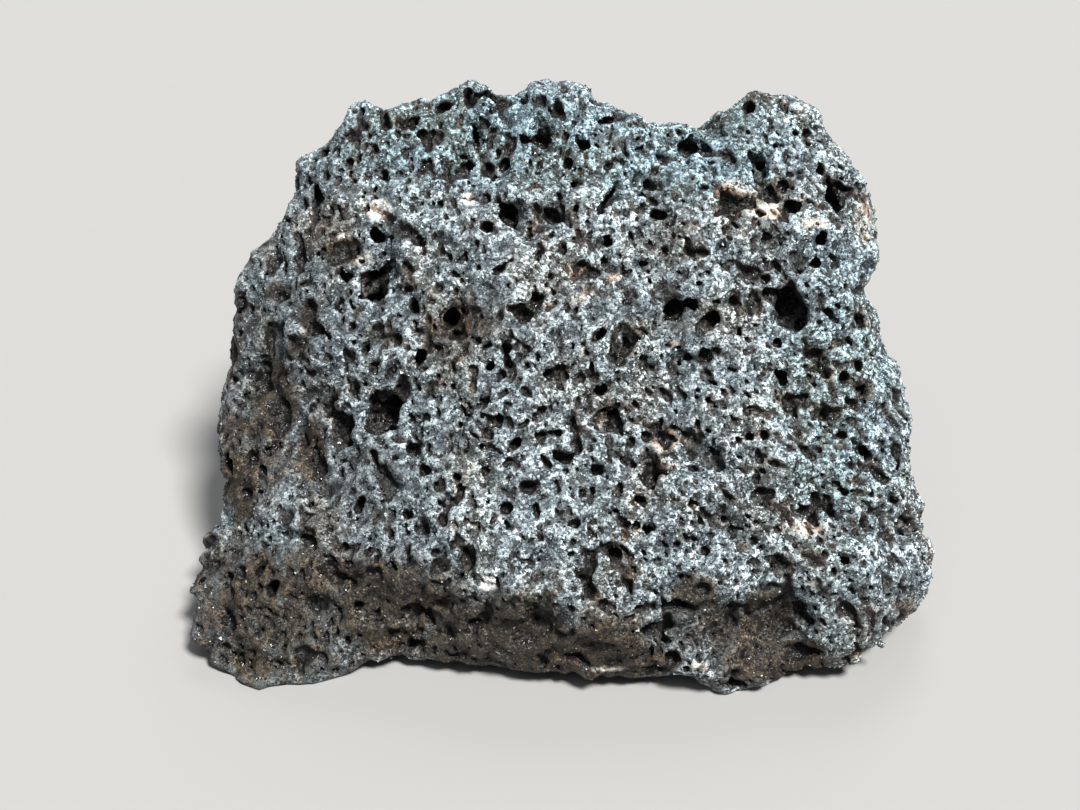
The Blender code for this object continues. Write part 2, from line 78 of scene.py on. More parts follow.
@dataclass(frozen=True)
class Sighting:
    """Where the stone is looked at from, and the face plane that its places are given on.

    The face plane is square to the line of sight. A place on it is a pair, across and up from its middle.

    Attributes:
        middle: The middle of the face plane.
        pitch: How far the eye looks down, in radians.
        distance: How far the eye is from the middle.
        width: How much of the face plane the camera takes in, across.
    """

    middle: tuple[float, float, float] = (-2.752, -10.013, 25.1)
    pitch: float = math.radians(36.0)
    distance: float = 170.0
    width: float = 108.0

    @property
    def right(self) -> Vector:
        """The way across the face plane."""
        return Vector((1.0, 0.0, 0.0))

    @property
    def ahead(self) -> Vector:
        """The way the eye looks."""
        return Vector((0.0, math.cos(self.pitch), -math.sin(self.pitch)))

    @property
    def up(self) -> Vector:
        """The way up the face plane."""
        return Vector((0.0, math.sin(self.pitch), math.cos(self.pitch)))

    @property
    def eye(self) -> Vector:
        """The place that the stone is looked at from."""
        return Vector(self.middle) - self.ahead * self.distance

    def ray(self, across: float, up: float) -> Vector:
        """The way from the eye through a place on the face plane.

        Args:
            across: How far the place is to the right of the middle.
            up: How far it is over the middle.

        Returns:
            A vector of length 1.
        """
        return (self.ahead * self.distance + self.right * across + self.up * up).normalized()

    def on_plane(self, points: np.ndarray) -> tuple[np.ndarray, np.ndarray, np.ndarray]:
        """Where points are seen on the face plane.

        Args:
            points: The points, one a row.

        Returns:
            How far each one is across, up and behind the plane.
        """
        seen = points - np.array(self.eye)
        ahead = seen @ np.array(self.ahead)
        across = seen @ np.array(self.right) * (self.distance / ahead)
        up = seen @ np.array(self.up) * (self.distance / ahead)
        return across, up, ahead - self.distance

    def facing(self, places: np.ndarray, normals: np.ndarray) -> np.ndarray:
        """How squarely a surface faces the eye at some places, from 1 down to -1.

        Args:
            places: The places, one a row.
            normals: The surface's way out at each.

        Returns:
            The cosine of the angle between the way out and the way to the eye.
        """
        towards = np.array(self.eye) - places
        towards /= np.linalg.norm(towards, axis=1, keepdims=True)
        return (normals * towards).sum(axis=1)


class PitKind(Enum):
    """What a pit in the front is like: its depth for its width, its unevenness and how far it is sunk."""

    HOLE = (1.5, 0.19, 0.45)
    DIMPLE = (0.6, 0.20, 0.10)
    GROOVE = (0.9, 0.20, 0.25)
    CAVERN = (1.1, 0.34, 0.35)
    SLIT = (2.2, 0.15, 0.40)

    @property
    def depth(self) -> float:
        """Half the pit's depth as a share of half its mean width."""
        return self.value[0]

    @property
    def unevenness(self) -> float:
        """How far the wall strays, as a share of half the pit's mean width."""
        return self.value[1]

    @property
    def sink(self) -> float:
        """How far the pit's middle lies below the surface, as a share of half its depth."""
        return self.value[2]


@dataclass(frozen=True)
class Pit:
    """A pit in the front, placed on the face plane.

    Attributes:
        kind: What it is like.
        across: How far it is to the right of the plane's middle.
        up: How far it is over the plane's middle.
        width: Its width.
        height: Its height.
        turn: How far it is turned anticlockwise, in degrees.
    """

    kind: PitKind
    across: float
    up: float
    width: float
    height: float
    turn: float = 0.0

    @property
    def half_mean(self) -> float:
        """Half the mean of its width and height."""
        return (self.width + self.height) / 4.0


# The round holes of the front, on the face plane: across, up, width.
ROUND_HOLES = (
    (5.6, -6.5, 1.3), (-1.6, 26.6, 0.9), (4.5, 25.9, 1.2), (1.2, 18.8, 1.4), (-1.1, 16.8, 0.8),
    (3.3, 16.5, 0.7), (-6.1, 13.7, 0.7), (-12.0, 16.3, 1.3), (-19.2, 12.9, 1.4), (-21.3, 22.9, 0.9),
    (-16.5, 25.7, 0.9), (-11.8, 27.3, 0.9), (-18.8, 7.8, 0.9), (-4.8, 4.0, 1.4), (-3.9, 3.0, 0.9),
    (-27.4, 3.8, 1.0), (-30.0, 7.1, 0.7), (-1.5, 1.4, 0.9), (0.6, 3.3, 1.2), (2.0, 3.8, 1.0),
    (-8.6, 1.9, 0.6), (-9.6, 2.0, 0.6), (-6.2, 6.4, 0.7), (-23.8, 2.1, 0.8), (-21.3, 4.7, 0.9),
    (4.7, 13.1, 0.8), (7.9, 11.9, 0.8), (11.4, 23.4, 0.7), (25.9, 23.2, 0.6), (25.4, 27.1, 0.9),
    (28.8, 9.1, 1.3), (32.0, 8.5, 1.3), (22.7, 12.6, 1.0), (14.7, 4.8, 1.0), (13.1, 3.8, 0.9),
    (21.9, 2.6, 0.8), (23.7, 6.3, 1.0), (-12.9, -4.7, 1.5), (-11.5, -6.6, 1.2), (-8.3, -7.2, 0.9),
    (-5.5, -6.5, 1.0), (-5.3, -3.0, 1.0), (-8.0, -1.9, 0.8), (0.2, -0.4, 0.8), (-1.2, -8.4, 1.3),
    (-13.1, -10.9, 1.1), (-8.5, -9.8, 0.9), (-10.5, -14.8, 0.9), (-26.3, -4.0, 0.9), (9.1, -3.7, 0.9),
    (6.9, -3.6, 1.1), (22.4, -3.1, 1.0), (21.0, -3.2, 0.8), (25.1, -4.3, 0.8), (25.9, -2.7, 1.0),
    (16.5, -14.6, 1.0), (21.4, -13.7, 0.8), (6.3, -20.0, 1.0),
)

# Its other pits: across, up, width, height, and the turn of those that lean.
PITS = {
    PitKind.CAVERN: (
        (-16.5, 11.5, 2.3, 4.2, -8), (-8.6, 8.6, 2.8, 3.0), (-15.4, -1.2, 3.4, 4.2, -18),
        (29.2, 20.2, 2.5, 4.2), (25.0, 9.7, 2.2, 4.2, 38), (-2.6, 19.1, 3.0, 2.8),
        (21.6, 23.4, 2.0, 3.2, 30), (18.9, 19.7, 1.8, 2.3, 8), (18.4, 14.1, 1.7, 1.4), (8.5, 6.7, 2.0, 2.3),
        (16.6, 8.0, 2.2, 2.2), (7.1, -1.5, 2.5, 2.0, 30), (-21.8, 20.6, 2.0, 1.7), (-7.2, -15.4, 1.2, 2.2),
        (27.2, -15.5, 2.0, 1.0), (30.3, -15.3, 2.2, 1.8), (36.6, -12.9, 1.3, 2.8, 10),
        (11.8, -22.2, 2.2, 1.5, 20), (-28.8, -5.4, 1.2, 1.6), (13.9, -20.4, 2.6, 1.2, 25),
    ),
    PitKind.HOLE: (
        (-5.2, 17.7, 1.3, 1.2), (25.3, 19.7, 1.5, 1.8), (27.9, 16.9, 1.8, 1.5), (27.3, 14.1, 1.4, 1.8),
        (21.3, 16.1, 1.3, 1.5), (14.5, 25.8, 1.8, 1.2), (21.0, 29.7, 1.8, 1.3), (13.3, 9.3, 1.8, 2.0),
        (19.4, 10.3, 1.1, 1.5), (6.2, 1.6, 1.8, 1.4), (11.6, 19.0, 1.5, 1.3), (0.3, 26.5, 1.6, 2.1),
        (-9.5, 29.7, 1.9, 1.5), (-3.5, 23.9, 1.4, 1.5), (-7.0, 23.8, 1.4, 1.1), (2.8, 24.2, 1.0, 1.5),
        (6.6, 28.4, 1.7, 1.1), (1.9, 29.7, 0.9, 1.4), (3.7, 19.9, 0.8, 1.4), (-0.4, 10.4, 1.3, 1.5),
        (-16.4, 16.8, 1.4, 2.2, 10), (-26.5, 14.7, 1.2, 1.6), (-19.1, 24.3, 1.0, 1.4),
        (-16.4, 21.6, 0.8, 1.1), (-15.5, 28.3, 1.0, 2.0, 30), (-12.0, 4.9, 1.3, 2.0),
        (-14.2, 6.4, 0.8, 1.1), (6.4, 14.4, 0.8, 1.0), (6.8, 23.8, 0.8, 1.4), (28.1, 23.8, 0.8, 1.5),
        (31.9, 3.9, 1.0, 1.4), (30.4, 2.9, 1.1, 1.3), (24.0, 2.9, 1.1, 2.0, 15), (-3.2, -10.3, 1.4, 1.0),
        (-18.0, -9.9, 1.1, 2.0, -20), (-5.2, -20.6, 0.9, 1.1), (-19.1, -23.5, 0.8, 1.4),
        (15.6, -6.4, 1.4, 0.9), (30.5, -3.1, 1.4, 0.9), (32.2, -4.7, 1.1, 1.5), (3.8, 0.3, 0.7, 1.2),
        (3.4, -11.9, 1.3, 1.0), (10.8, -12.4, 1.4, 1.0), (-12.6, -23.6, 1.1, 0.9),
    ),
    PitKind.SLIT: (
        (21.0, 25.1, 0.6, 1.3), (2.2, -5.1, 2.3, 0.9, -12), (5.7, 7.1, 0.9, 2.0, -35),
        (7.0, 20.8, 0.9, 3.5, -29), (-3.2, 14.3, 0.55, 3.9, -49), (-6.4, 27.3, 1.0, 2.7, 12),
        (5.1, 4.1, 0.5, 1.2), (19.9, 7.2, 0.5, 1.3), (-26.4, -18.0, 1.1, 2.0, -38),
    ),
    PitKind.GROOVE: (
        (-11.7, 15.0, 0.6, 1.6, -8), (-26.9, 7.1, 0.8, 2.5, -12), (-6.7, 2.5, 0.9, 2.8),
        (-8.7, 3.7, 0.6, 1.5), (12.8, 0.3, 0.8, 1.7), (-24.0, 14.5, 1.0, 2.4, -5),
        (-27.8, 2.4, 1.8, 3.2, -12), (-23.8, -2.6, 1.4, 3.2, 25), (-22.4, -5.6, 1.5, 3.4, 18),
        (-29.6, -8.6, 1.4, 2.6, -8), (-22.6, -20.0, 1.7, 2.4, -25), (-31.0, -21.5, 1.5, 2.2, 15),
        (19.2, -21.6, 1.2, 2.0),
    ),
    PitKind.DIMPLE: (
        (-20.2, 22.4, 0.9, 0.9), (-0.4, 8.0, 1.1, 0.7), (4.9, 11.7, 1.3, 1.3), (-15.1, -7.9, 1.6, 2.4, 40),
        (0.1, -3.2, 1.9, 1.9), (21.7, -9.5, 2.3, 2.0), (20.4, -14.2, 2.0, 0.9), (-19.7, 15.4, 3.0, 2.0),
        (-26.3, 11.3, 2.6, 1.6), (-23.1, 9.2, 2.0, 2.6), (-29.3, 7.6, 1.6, 1.4), (-24.3, 6.0, 1.6, 1.6),
        (-16.3, 7.3, 2.0, 1.4), (-13.6, 17.4, 2.0, 1.2), (-11.5, 6.5, 1.2, 2.0),
        (-26.0, -0.4, 2.6, 4.4, 20), (-25.6, -11.4, 1.8, 1.5), (-24.0, -25.0, 2.2, 1.5),
        (-29.8, -16.5, 1.8, 1.5), (-20.2, -17.2, 2.2, 1.6), (-16.5, -17.2, 1.8, 1.7),
        (-13.0, -19.4, 2.2, 1.6, -15), (-9.0, -22.5, 2.6, 1.4, -15), (-1.5, -23.5, 2.2, 1.4),
        (3.0, -25.2, 2.4, 1.1), (16.2, -18.8, 1.8, 2.0), (23.0, -20.5, 3.2, 2.6),
        (26.0, -24.6, 3.6, 1.7, -10), (20.5, -25.0, 2.6, 1.4, 10),
    ),
}


class Tone(Enum):
    """A colour laid on patches of the stone, by the name of its attribute: stains, and patches of painted
    light and shade.
    """

    CREAM = "cream"
    OCHRE = "ochre"
    WHITE = "white"
    BROWN = "brown"
    BLUE = "blue"

    @property
    def tints(self) -> bool:
        """Whether it only tints the stone's own colour."""
        return self in (Tone.BROWN, Tone.BLUE)

    @property
    def reach(self) -> float:
        """How far behind the face plane its patches go."""
        return 22.0 if self.tints else 11.0

    @property
    def firmness(self) -> float:
        """How firm its patches' edges are, from 1 for a soft one."""
        return 1.3 if self.tints else 2.0


# Patches of the front, on the face plane: across, up, half width, half height, strength.
PATCHES = {
    Tone.CREAM: (
        # Cream flecks. Those up on the right, by the right edge, are also a painted highlight where light
        # falls on that edge.
        (19.3, 21.2, 1.9, 1.5, 0.7), (22.6, 19.4, 2.4, 1.0, 0.7), (-19.6, 16.6, 1.0, 0.7, 0.8),
        (-17.6, 14.6, 1.0, 0.7, 0.7), (32.4, 18.6, 1.2, 3.6, 0.5), (27.3, 18.2, 1.8, 0.7, 0.7),
        (-9.0, -12.0, 1.4, 0.9, 0.5), (26.5, -12.3, 3.0, 1.2, 0.6), (3.6, 10.6, 1.6, 1.0, 0.5),
        (15.6, -26.2, 1.7, 0.4, 0.75), (6.5, -26.4, 2.2, 0.35, 0.75), (10.2, -21.4, 1.5, 0.35, 0.7),
    ),
    Tone.OCHRE: (
        (12.4, -3.6, 1.8, 1.4, 0.6), (7.4, 12.8, 0.8, 0.5, 0.7), (13.4, 6.2, 0.8, 0.5, 0.5),
    ),
    Tone.WHITE: (
        (-16.0, 19.6, 1.2, 0.9, 1.5), (-5.1, -17.9, 0.9, 0.7, 1.6), (-7.2, 20.6, 0.8, 0.6, 1.2),
    ),
    Tone.BROWN: (
        # Brown low down and in the recesses on the left: partly the stone's own rusty brown, partly painted
        # shade and a painted brown reflection from below.
        (-27.0, -22.0, 11.0, 9.0, 0.75), (-15.0, -19.8, 8.0, 5.0, 1.0), (-4.0, -23.4, 8.0, 4.2, 1.3),
        (6.5, -25.0, 6.0, 3.4, 1.2), (17.5, -22.6, 9.5, 3.4, 0.6), (15.5, -19.0, 2.6, 2.2, 1.1),
        (23.0, -21.0, 2.8, 2.6, 1.2), (23.5, -25.6, 5.5, 2.2, 1.2), (-26.5, 0.5, 2.6, 4.2, 1.1),
        (-22.8, -4.5, 1.5, 3.4, 1.0), (-30.0, -8.0, 2.0, 3.8, 0.9), (-30.8, 5.6, 1.4, 2.4, 0.8),
        (-19.7, 15.4, 2.2, 1.5, 0.9), (-26.3, 11.3, 1.8, 1.2, 0.8), (-23.1, 9.2, 1.5, 1.8, 0.8),
        (-24.3, 6.0, 1.4, 1.2, 0.7), (-16.3, 7.3, 1.5, 1.2, 0.7), (-13.6, 17.4, 1.6, 1.1, 0.7),
        (-28.0, 0.0, 6.0, 15.0, 0.45), (-20.0, -8.0, 8.0, 8.0, 0.35), (-22.0, 14.0, 6.0, 8.0, 0.3),
        (14.0, 8.5, 5.0, 3.0, 0.4), (-7.0, 8.0, 4.0, 4.0, 0.4), (34.8, -20.7, 5.0, 5.0, 0.3),
    ),
    Tone.BLUE: (
        # Painted cool light: the top and the right side are tinted bluer and a little darker.
        (-5.0, 27.0, 17.0, 6.0, 0.8), (14.0, 26.0, 13.0, 6.0, 0.8), (30.0, 2.0, 8.0, 22.0, 0.5),
    ),
}


def listed_pits() -> list[Pit]:
    """Every pit that is listed."""
    holes = [Pit(PitKind.HOLE, across, up, width, width) for across, up, width in ROUND_HOLES]
    return holes + [Pit(kind, *row) for kind, rows in PITS.items() for row in rows]


def patch_strength(tone: Tone, points: np.ndarray, sighting: Sighting) -> np.ndarray:
    """How strongly a tone's patches cover each point.

    Args:
        tone: The tone.
        points: The points, one a row.
        sighting: Where the patches' places are given from.

    Returns:
        A strength for each point, 0 where there is no patch.
    """
    across, up, behind = sighting.on_plane(points)
    total = np.zeros(len(points))
    for x, y, half_width, half_height, strength in PATCHES[tone]:
        far = ((across - x) / half_width) ** 2 + ((up - y) / half_height) ** 2
        total = np.maximum(total, strength * np.exp(-(far**tone.firmness)))
    return total * (behind < tone.reach)


@dataclass(frozen=True)
class Bubble:
    """One ellipsoid that is carved out.

    Attributes:
        middle: Its middle.
        half: Its half sizes.
        axes: Its axes, one a row, in the order of the half sizes.
        unevenness: How far its wall strays, as a share of its mean half width.
        radius: The radius that other bubbles keep clear of.
    """

    middle: np.ndarray
    half: np.ndarray
    axes: np.ndarray
    unevenness: float
    radius: float


def along(axis: int, values: np.ndarray) -> np.ndarray:
    """A row of values laid along one axis of a block."""
    return values.reshape([-1 if a == axis else 1 for a in range(3)])


def spline_shares(part: np.ndarray) -> list[np.ndarray]:
    """The shares that a cubic B-spline gives to the four knots round a place.

    Args:
        part: How far each place lies from its second knot to its third, from 0 to 1.

    Returns:
        One array of shares for each of the four knots.
    """
    return [
        (1.0 - part) ** 3 / 6.0,
        (3.0 * part**3 - 6.0 * part**2 + 4.0) / 6.0,
        (-3.0 * part**3 + 3.0 * part**2 + 3.0 * part + 1.0) / 6.0,
        part**3 / 6.0,
    ]


class VoxelField:
    """A block of voxels that holds a signed distance, negative inside the stone.

    Attributes:
        BELL_REACH: How far a bell curve is followed when the field is softened, in spreads.
        KNOTS: How many knots a cubic B-spline's value comes from.
        SPLINE_SPREAD: The spread of the heights that it makes of knots with a spread of 1.
    """

    BELL_REACH = 2.5
    KNOTS = 4
    SPLINE_SPREAD = 0.333

    def __init__(self, values: np.ndarray, low: np.ndarray, grain: float) -> None:
        """Keeps what the block holds.

        Args:
            values: The distances, in millimetres.
            low: The first voxel's place, in voxels.
            grain: The voxels' size.
        """
        self.values = values
        self.low = low
        self.grain = grain

    @classmethod
    def around(cls, shape: bmesh.types.BMesh, grain: float, reach: float) -> "VoxelField":
        """Measures the distance to a closed mesh.

        Args:
            shape: The closed mesh, in metres.
            grain: The voxels' size.
            reach: How far from the surface the distance is measured.

        Returns:
            The field round the mesh.
        """
        corners = np.array([v.co[:] for v in shape.verts]) / MM
        faces = np.array([[v.index for v in f.verts] for f in shape.faces])
        place = openvdb.createLinearTransform(voxelSize=grain)
        grid = openvdb.FloatGrid.createLevelSetFromPolygons(
            corners, triangles=faces, transform=place, halfWidth=reach / grain
        )
        low, high = grid.evalActiveVoxelBoundingBox()
        values = np.zeros(np.subtract(high, low) + 1, np.float32)
        grid.copyToArray(values, ijk=low)
        return cls(values, np.array(low), grain)

    def copy(self) -> "VoxelField":
        """A copy with values of its own."""
        return VoxelField(self.values.copy(), self.low, self.grain)

    def layers(self, axis: int) -> np.ndarray:
        """The places of the layers of voxels along an axis."""
        return (np.arange(self.values.shape[axis]) + self.low[axis]) * self.grain

    def noise(self, size: float, draw: np.random.Generator) -> np.ndarray:
        """Smooth random heights over the block, with a mean of 0 and a spread of 1.

        Args:
            size: The size of the lumps.
            draw: The source of random numbers.

        Returns:
            An array of the block's shape.
        """
        counts = [math.ceil(count * self.grain / size) + self.KNOTS + 1 for count in self.values.shape]
        heights = draw.standard_normal(counts).astype(np.float32) / np.float32(self.SPLINE_SPREAD)
        for axis in (2, 1, 0):
            place = np.arange(self.values.shape[axis]) * (self.grain / size) + draw.random()
            knot = np.floor(place).astype(int)
            heights = sum(
                np.take(heights, knot + step, axis) * along(axis, share.astype(np.float32))
                for step, share in enumerate(spline_shares(place - knot))
            )
        return heights

    def softened(self, radius: float) -> "VoxelField":
        """A copy that is softened with a bell curve.

        Args:
            radius: The bell curve's spread.

        Returns:
            The softened field.
        """
        spread = radius / self.grain
        half = math.ceil(self.BELL_REACH * spread)
        shares = np.exp(-0.5 * (np.arange(-half, half + 1) / spread) ** 2)
        shares = (shares / shares.sum()).astype(np.float32)
        values = self.values
        for axis in range(3):
            wide = np.pad(values, [(half, half) if a == axis else (0, 0) for a in range(3)], mode="edge")
            wide = np.moveaxis(wide, axis, 0)
            values = np.moveaxis(np.empty_like(values), axis, 0)
            np.multiply(wide[:len(values)], shares[0], out=values)
            for step, share in enumerate(shares[1:], start=1):
                values += share * wide[step:step + len(values)]
            values = np.moveaxis(values, 0, axis)
        return VoxelField(values, self.low, self.grain)

    def coarser(self, step: int) -> "VoxelField":
        """A copy that keeps one voxel in so many along each axis."""
        return VoxelField(self.values[::step, ::step, ::step], self.low / step, self.grain * step)

    def at(self, points: np.ndarray) -> np.ndarray:
        """The values at some points, blended between voxels.

        Args:
            points: The points, one a row.

        Returns:
            One value for each point.
        """
        place = points / self.grain - self.low
        knot = np.clip(np.floor(place).astype(int), 0, np.array(self.values.shape) - 2)
        part = np.clip(place - knot, 0.0, 1.0)
        total = np.zeros(len(points))
        for corner in np.ndindex(2, 2, 2):
            share = np.prod(np.where(corner, part, 1.0 - part), axis=1)
            total += share * self.values[tuple((knot + corner).T)]
        return total

    def way_in(self, starts: np.ndarray, ways: np.ndarray, reach: float) -> np.ndarray:
        """How far it is from some points to the surface.

        Args:
            starts: The points, one a row, outside the stone.
            ways: The way to go from each, as vectors of length 1.
            reach: The greatest distance.

        Returns:
            One distance for each point.
        """
        steps = np.arange(0.0, reach, self.grain / 2.0)
        inside = np.array([self.at(starts + ways * step) < 0.0 for step in steps])
        inside[-1] = True
        return steps[inside.argmax(axis=0)]

    def carve(self, bubble: Bubble, rough: np.ndarray) -> None:
        """Cuts a bubble out.

        Args:
            bubble: The bubble.
            rough: Random heights over the block that make its wall uneven.
        """
        reach = np.sqrt(((bubble.axes * bubble.half[:, None]) ** 2).sum(0))
        reach *= 1.0 + ROUGH_LIMIT * bubble.unevenness
        first = np.floor((bubble.middle - reach) / self.grain - self.low).astype(int)
        last = np.ceil((bubble.middle + reach) / self.grain - self.low).astype(int) + 1
        first = np.maximum(first, 0)
        last = np.minimum(last, self.values.shape)
        window = tuple(slice(a, b) for a, b in zip(first, last))
        spans = zip(first, last, self.low, bubble.middle)
        lines = [(np.arange(a, b) + low) * self.grain - middle for a, b, low, middle in spans]
        x, y, z = np.meshgrid(*lines, indexing="ij", sparse=True)
        ways = bubble.axes / bubble.half[:, None]
        far = sum((way[0] * x + way[1] * y + way[2] * z) ** 2 for way in ways)
        inside = (1.0 - np.sqrt(far)) * bubble.half.min()
        inside = inside + rough[window] * (bubble.unevenness * bubble.half[:2].mean())
        np.maximum(self.values[window], inside, out=self.values[window])

    def keep_in(self, box: tuple[np.ndarray, np.ndarray]) -> None:
        """Cuts off what stands out of a box.

        Args:
            box: The box's least and greatest corner.
        """
        for axis, (low, high) in enumerate(zip(*box)):
            outside = np.maximum(low - self.layers(axis), self.layers(axis) - high).astype(np.float32)
            np.maximum(self.values, along(axis, outside), out=self.values)

    def surface(self) -> tuple[np.ndarray, np.ndarray]:
        """The mesh of the surface, without loose bits.

        Returns:
            The corners, in millimetres, and the corners' numbers of each four-sided face.
        """
        grid = openvdb.FloatGrid(float(self.values.max()))
        grid.copyFromArray(self.values, ijk=tuple(int(i) for i in self.low))
        grid.transform = openvdb.createLinearTransform(voxelSize=self.grain)
        corners, faces = grid.convertToQuads(0.0)
        return largest_piece(corners, faces)


def largest_piece(corners: np.ndarray, faces: np.ndarray) -> tuple[np.ndarray, np.ndarray]:
    """Drops every loose bit of a mesh and keeps its largest piece.

    Args:
        corners: The corners, one a row.
        faces: The corners' numbers of each four-sided face, one face a row.

    Returns:
        The corners and faces that are left.
    """
    # Each corner takes the least label among its neighbours, until every piece has one label of its own.
    labels = np.arange(len(corners))
    ends = np.concatenate([faces[:, [a, b]] for a, b in ((0, 1), (1, 2), (2, 3), (3, 0))])
    while True:
        lowest = labels[ends].min(axis=1)
        spread = labels.copy()
        np.minimum.at(spread, ends[:, 0], lowest)
        np.minimum.at(spread, ends[:, 1], lowest)
        spread = spread[spread]
        if (spread == labels).all():
            break
        labels = spread
    kept = labels == np.bincount(labels).argmax()
    number = np.cumsum(kept) - 1
    return corners[kept], number[faces[kept[faces[:, 0]]]]


def merged_copy(node: bpy.types.Object, nearness: float = 1e-7) -> bmesh.types.BMesh:
    """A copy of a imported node's mesh, with its loose triangles merged.

    Args:
        node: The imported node.
        nearness: How near two corners are merged, in metres.

    Returns:
        The closed mesh, in metres.
    """
    shape = bmesh.new()
    shape.from_mesh(node.data)
    bmesh.ops.remove_doubles(shape, verts=shape.verts[:], dist=nearness)
    shape.verts.index_update()
    shape.normal_update()
    return shape


def vertex_places(mesh: bpy.types.Mesh) -> np.ndarray:
    """The places of a mesh's vertices.

    Args:
        mesh: The mesh.

    Returns:
        The places, one a row.
    """
    places = np.empty(len(mesh.vertices) * 3, np.float32)
    mesh.vertices.foreach_get("co", places)
    return places.reshape(-1, 3).astype(float)


def read(mesh: bpy.types.Mesh, name: str) -> np.ndarray:
    """The values that a mesh holds under a name.

    Args:
        mesh: The mesh.
        name: The attribute's name.

    Returns:
        One value for each vertex.
    """
    values = np.empty(len(mesh.vertices), np.float32)
    mesh.attributes[name].data.foreach_get("value", values)
    return values


def put(mesh: bpy.types.Mesh, name: str, values: np.ndarray) -> None:
    """Gives a mesh an attribute with one number for each vertex."""
    mesh.attributes.new(name, "FLOAT", "POINT").data.foreach_set("value", values.astype(np.float32))


def new_piece(name: str, corners: np.ndarray, faces: np.ndarray) -> bpy.types.Object:
    """A new object in the scene.

    Args:
        name: Its name.
        corners: Its corners, one a row.
        faces: The corners' numbers of each face, one face a row.

    Returns:
        The object.
    """
    mesh = bpy.data.meshes.new(name)
    mesh.from_pydata(corners, [], faces)
    piece = bpy.data.objects.new(name, mesh)
    bpy.context.scene.collection.objects.link(piece)
    return piece


@dataclass(frozen=True)
class Roughening:
    """The lumps and sharp crests that noise raises on the form.

    Attributes:
        softening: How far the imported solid's facets are softened first.
        lumps: Octaves of plain noise.
        crests: Octaves of noise that is folded into sharp crests.
        folded_mean: The mean of folded noise, which is taken off it.
        calm: The heights between which the noise grows from nothing to its full height.
    """

    softening: float = 0.35
    lumps: tuple[Pair, ...] = ((5.0, 0.20), (2.4, 0.16), (1.2, 0.11), (0.6, 0.085))
    crests: tuple[Pair, ...] = ((3.1, 0.32), (1.7, 0.26), (0.9, 0.22))
    folded_mean: float = 0.8
    calm: Pair = (-0.6, 1.6)

    def raise_on(self, form: VoxelField, draw: np.random.Generator) -> VoxelField:
        """A roughened copy of a form.

        Args:
            form: The form.
            draw: The source of random numbers.

        Returns:
            The roughened field.
        """
        worked = form.softened(self.softening)
        low, high = self.calm
        grown = np.clip((worked.layers(2) - low) / (high - low), 0.0, 1.0).astype(np.float32)
        for size, height in self.lumps:
            worked.values += height * grown * worked.noise(size, draw)
        for size, height in self.crests:
            folded = np.abs(worked.noise(size, draw)) - np.float32(self.folded_mean)
            worked.values += height * grown * folded
        return worked


@dataclass(frozen=True)
class PitPlacing:
    """Turns the listed pits into bubbles, where the line of sight meets the stone.

    Attributes:
        sighting: Where the pits are seen from.
        opening: How much wider they are carved than they are listed, because rough walls narrow them.
        slant: How far they turn from the line of sight to the surface's own way in.
        search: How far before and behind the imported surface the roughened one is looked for.
        slack: How much deeper than in the pitless form a pit's mouth may lie.
    """

    sighting: Sighting
    opening: float = 1.14
    slant: float = 0.6
    search: float = 2.5
    slack: float = 0.5

    def bubbles(self, shape: bmesh.types.BMesh, worked: VoxelField, pitless: VoxelField) -> list[Bubble]:
        """The bubbles of the listed pits.

        Args:
            shape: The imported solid's closed mesh.
            worked: The roughened form.
            pitless: The form without its pits.

        Returns:
            One bubble for each pit that meets the stone.
        """
        tree = BVHTree.FromBMesh(shape)
        bubbles = []
        for pit in listed_pits():
            ray = self.sighting.ray(pit.across, pit.up)
            hit, normal, _, _ = tree.ray_cast(self.sighting.eye * MM, ray)
            if hit is None:
                LOG.warning("a pit misses the stone: %s", pit)
                continue
            start = np.array(hit) / MM - np.array(ray) * self.search
            ways = (start[None], np.array(ray)[None], 2.0 * self.search)
            way_in = min(worked.way_in(*ways)[0], pitless.way_in(*ways)[0] + self.slack)
            inward = (ray - normal * self.slant).normalized()
            tall = Matrix.Rotation(math.radians(-pit.turn), 3, ray) @ self.sighting.up
            tall = (tall - inward * tall.dot(inward)).normalized()
            axes = np.array([inward.cross(tall), tall, inward])
            half = np.array([pit.width / 2.0, pit.height / 2.0, pit.half_mean * pit.kind.depth])
            half *= self.opening
            middle = start + np.array(ray) * way_in + np.array(inward) * (half[2] * pit.kind.sink)
            bubbles.append(Bubble(middle, half, axes, pit.kind.unevenness, half[:2].max()))
        return bubbles


@dataclass(frozen=True)
class Family:
    """A family of gas bubbles that are strewn over the stone.

    Attributes:
        count: How many there are at most.
        radii: The least and the greatest radius.
        squeeze: How strongly small ones outnumber large ones.
        stretch: The longest one's length for its width.
        sink: How far the middle lies below the surface, as a share of the radius.
        gap: How far they keep from others, in sums of the two radii.
        front: How many there are on the side that is looked at, as a share of those elsewhere.
    """

    count: int
    radii: Pair
    squeeze: float
    stretch: float
    sink: float
    gap: float
    front: float


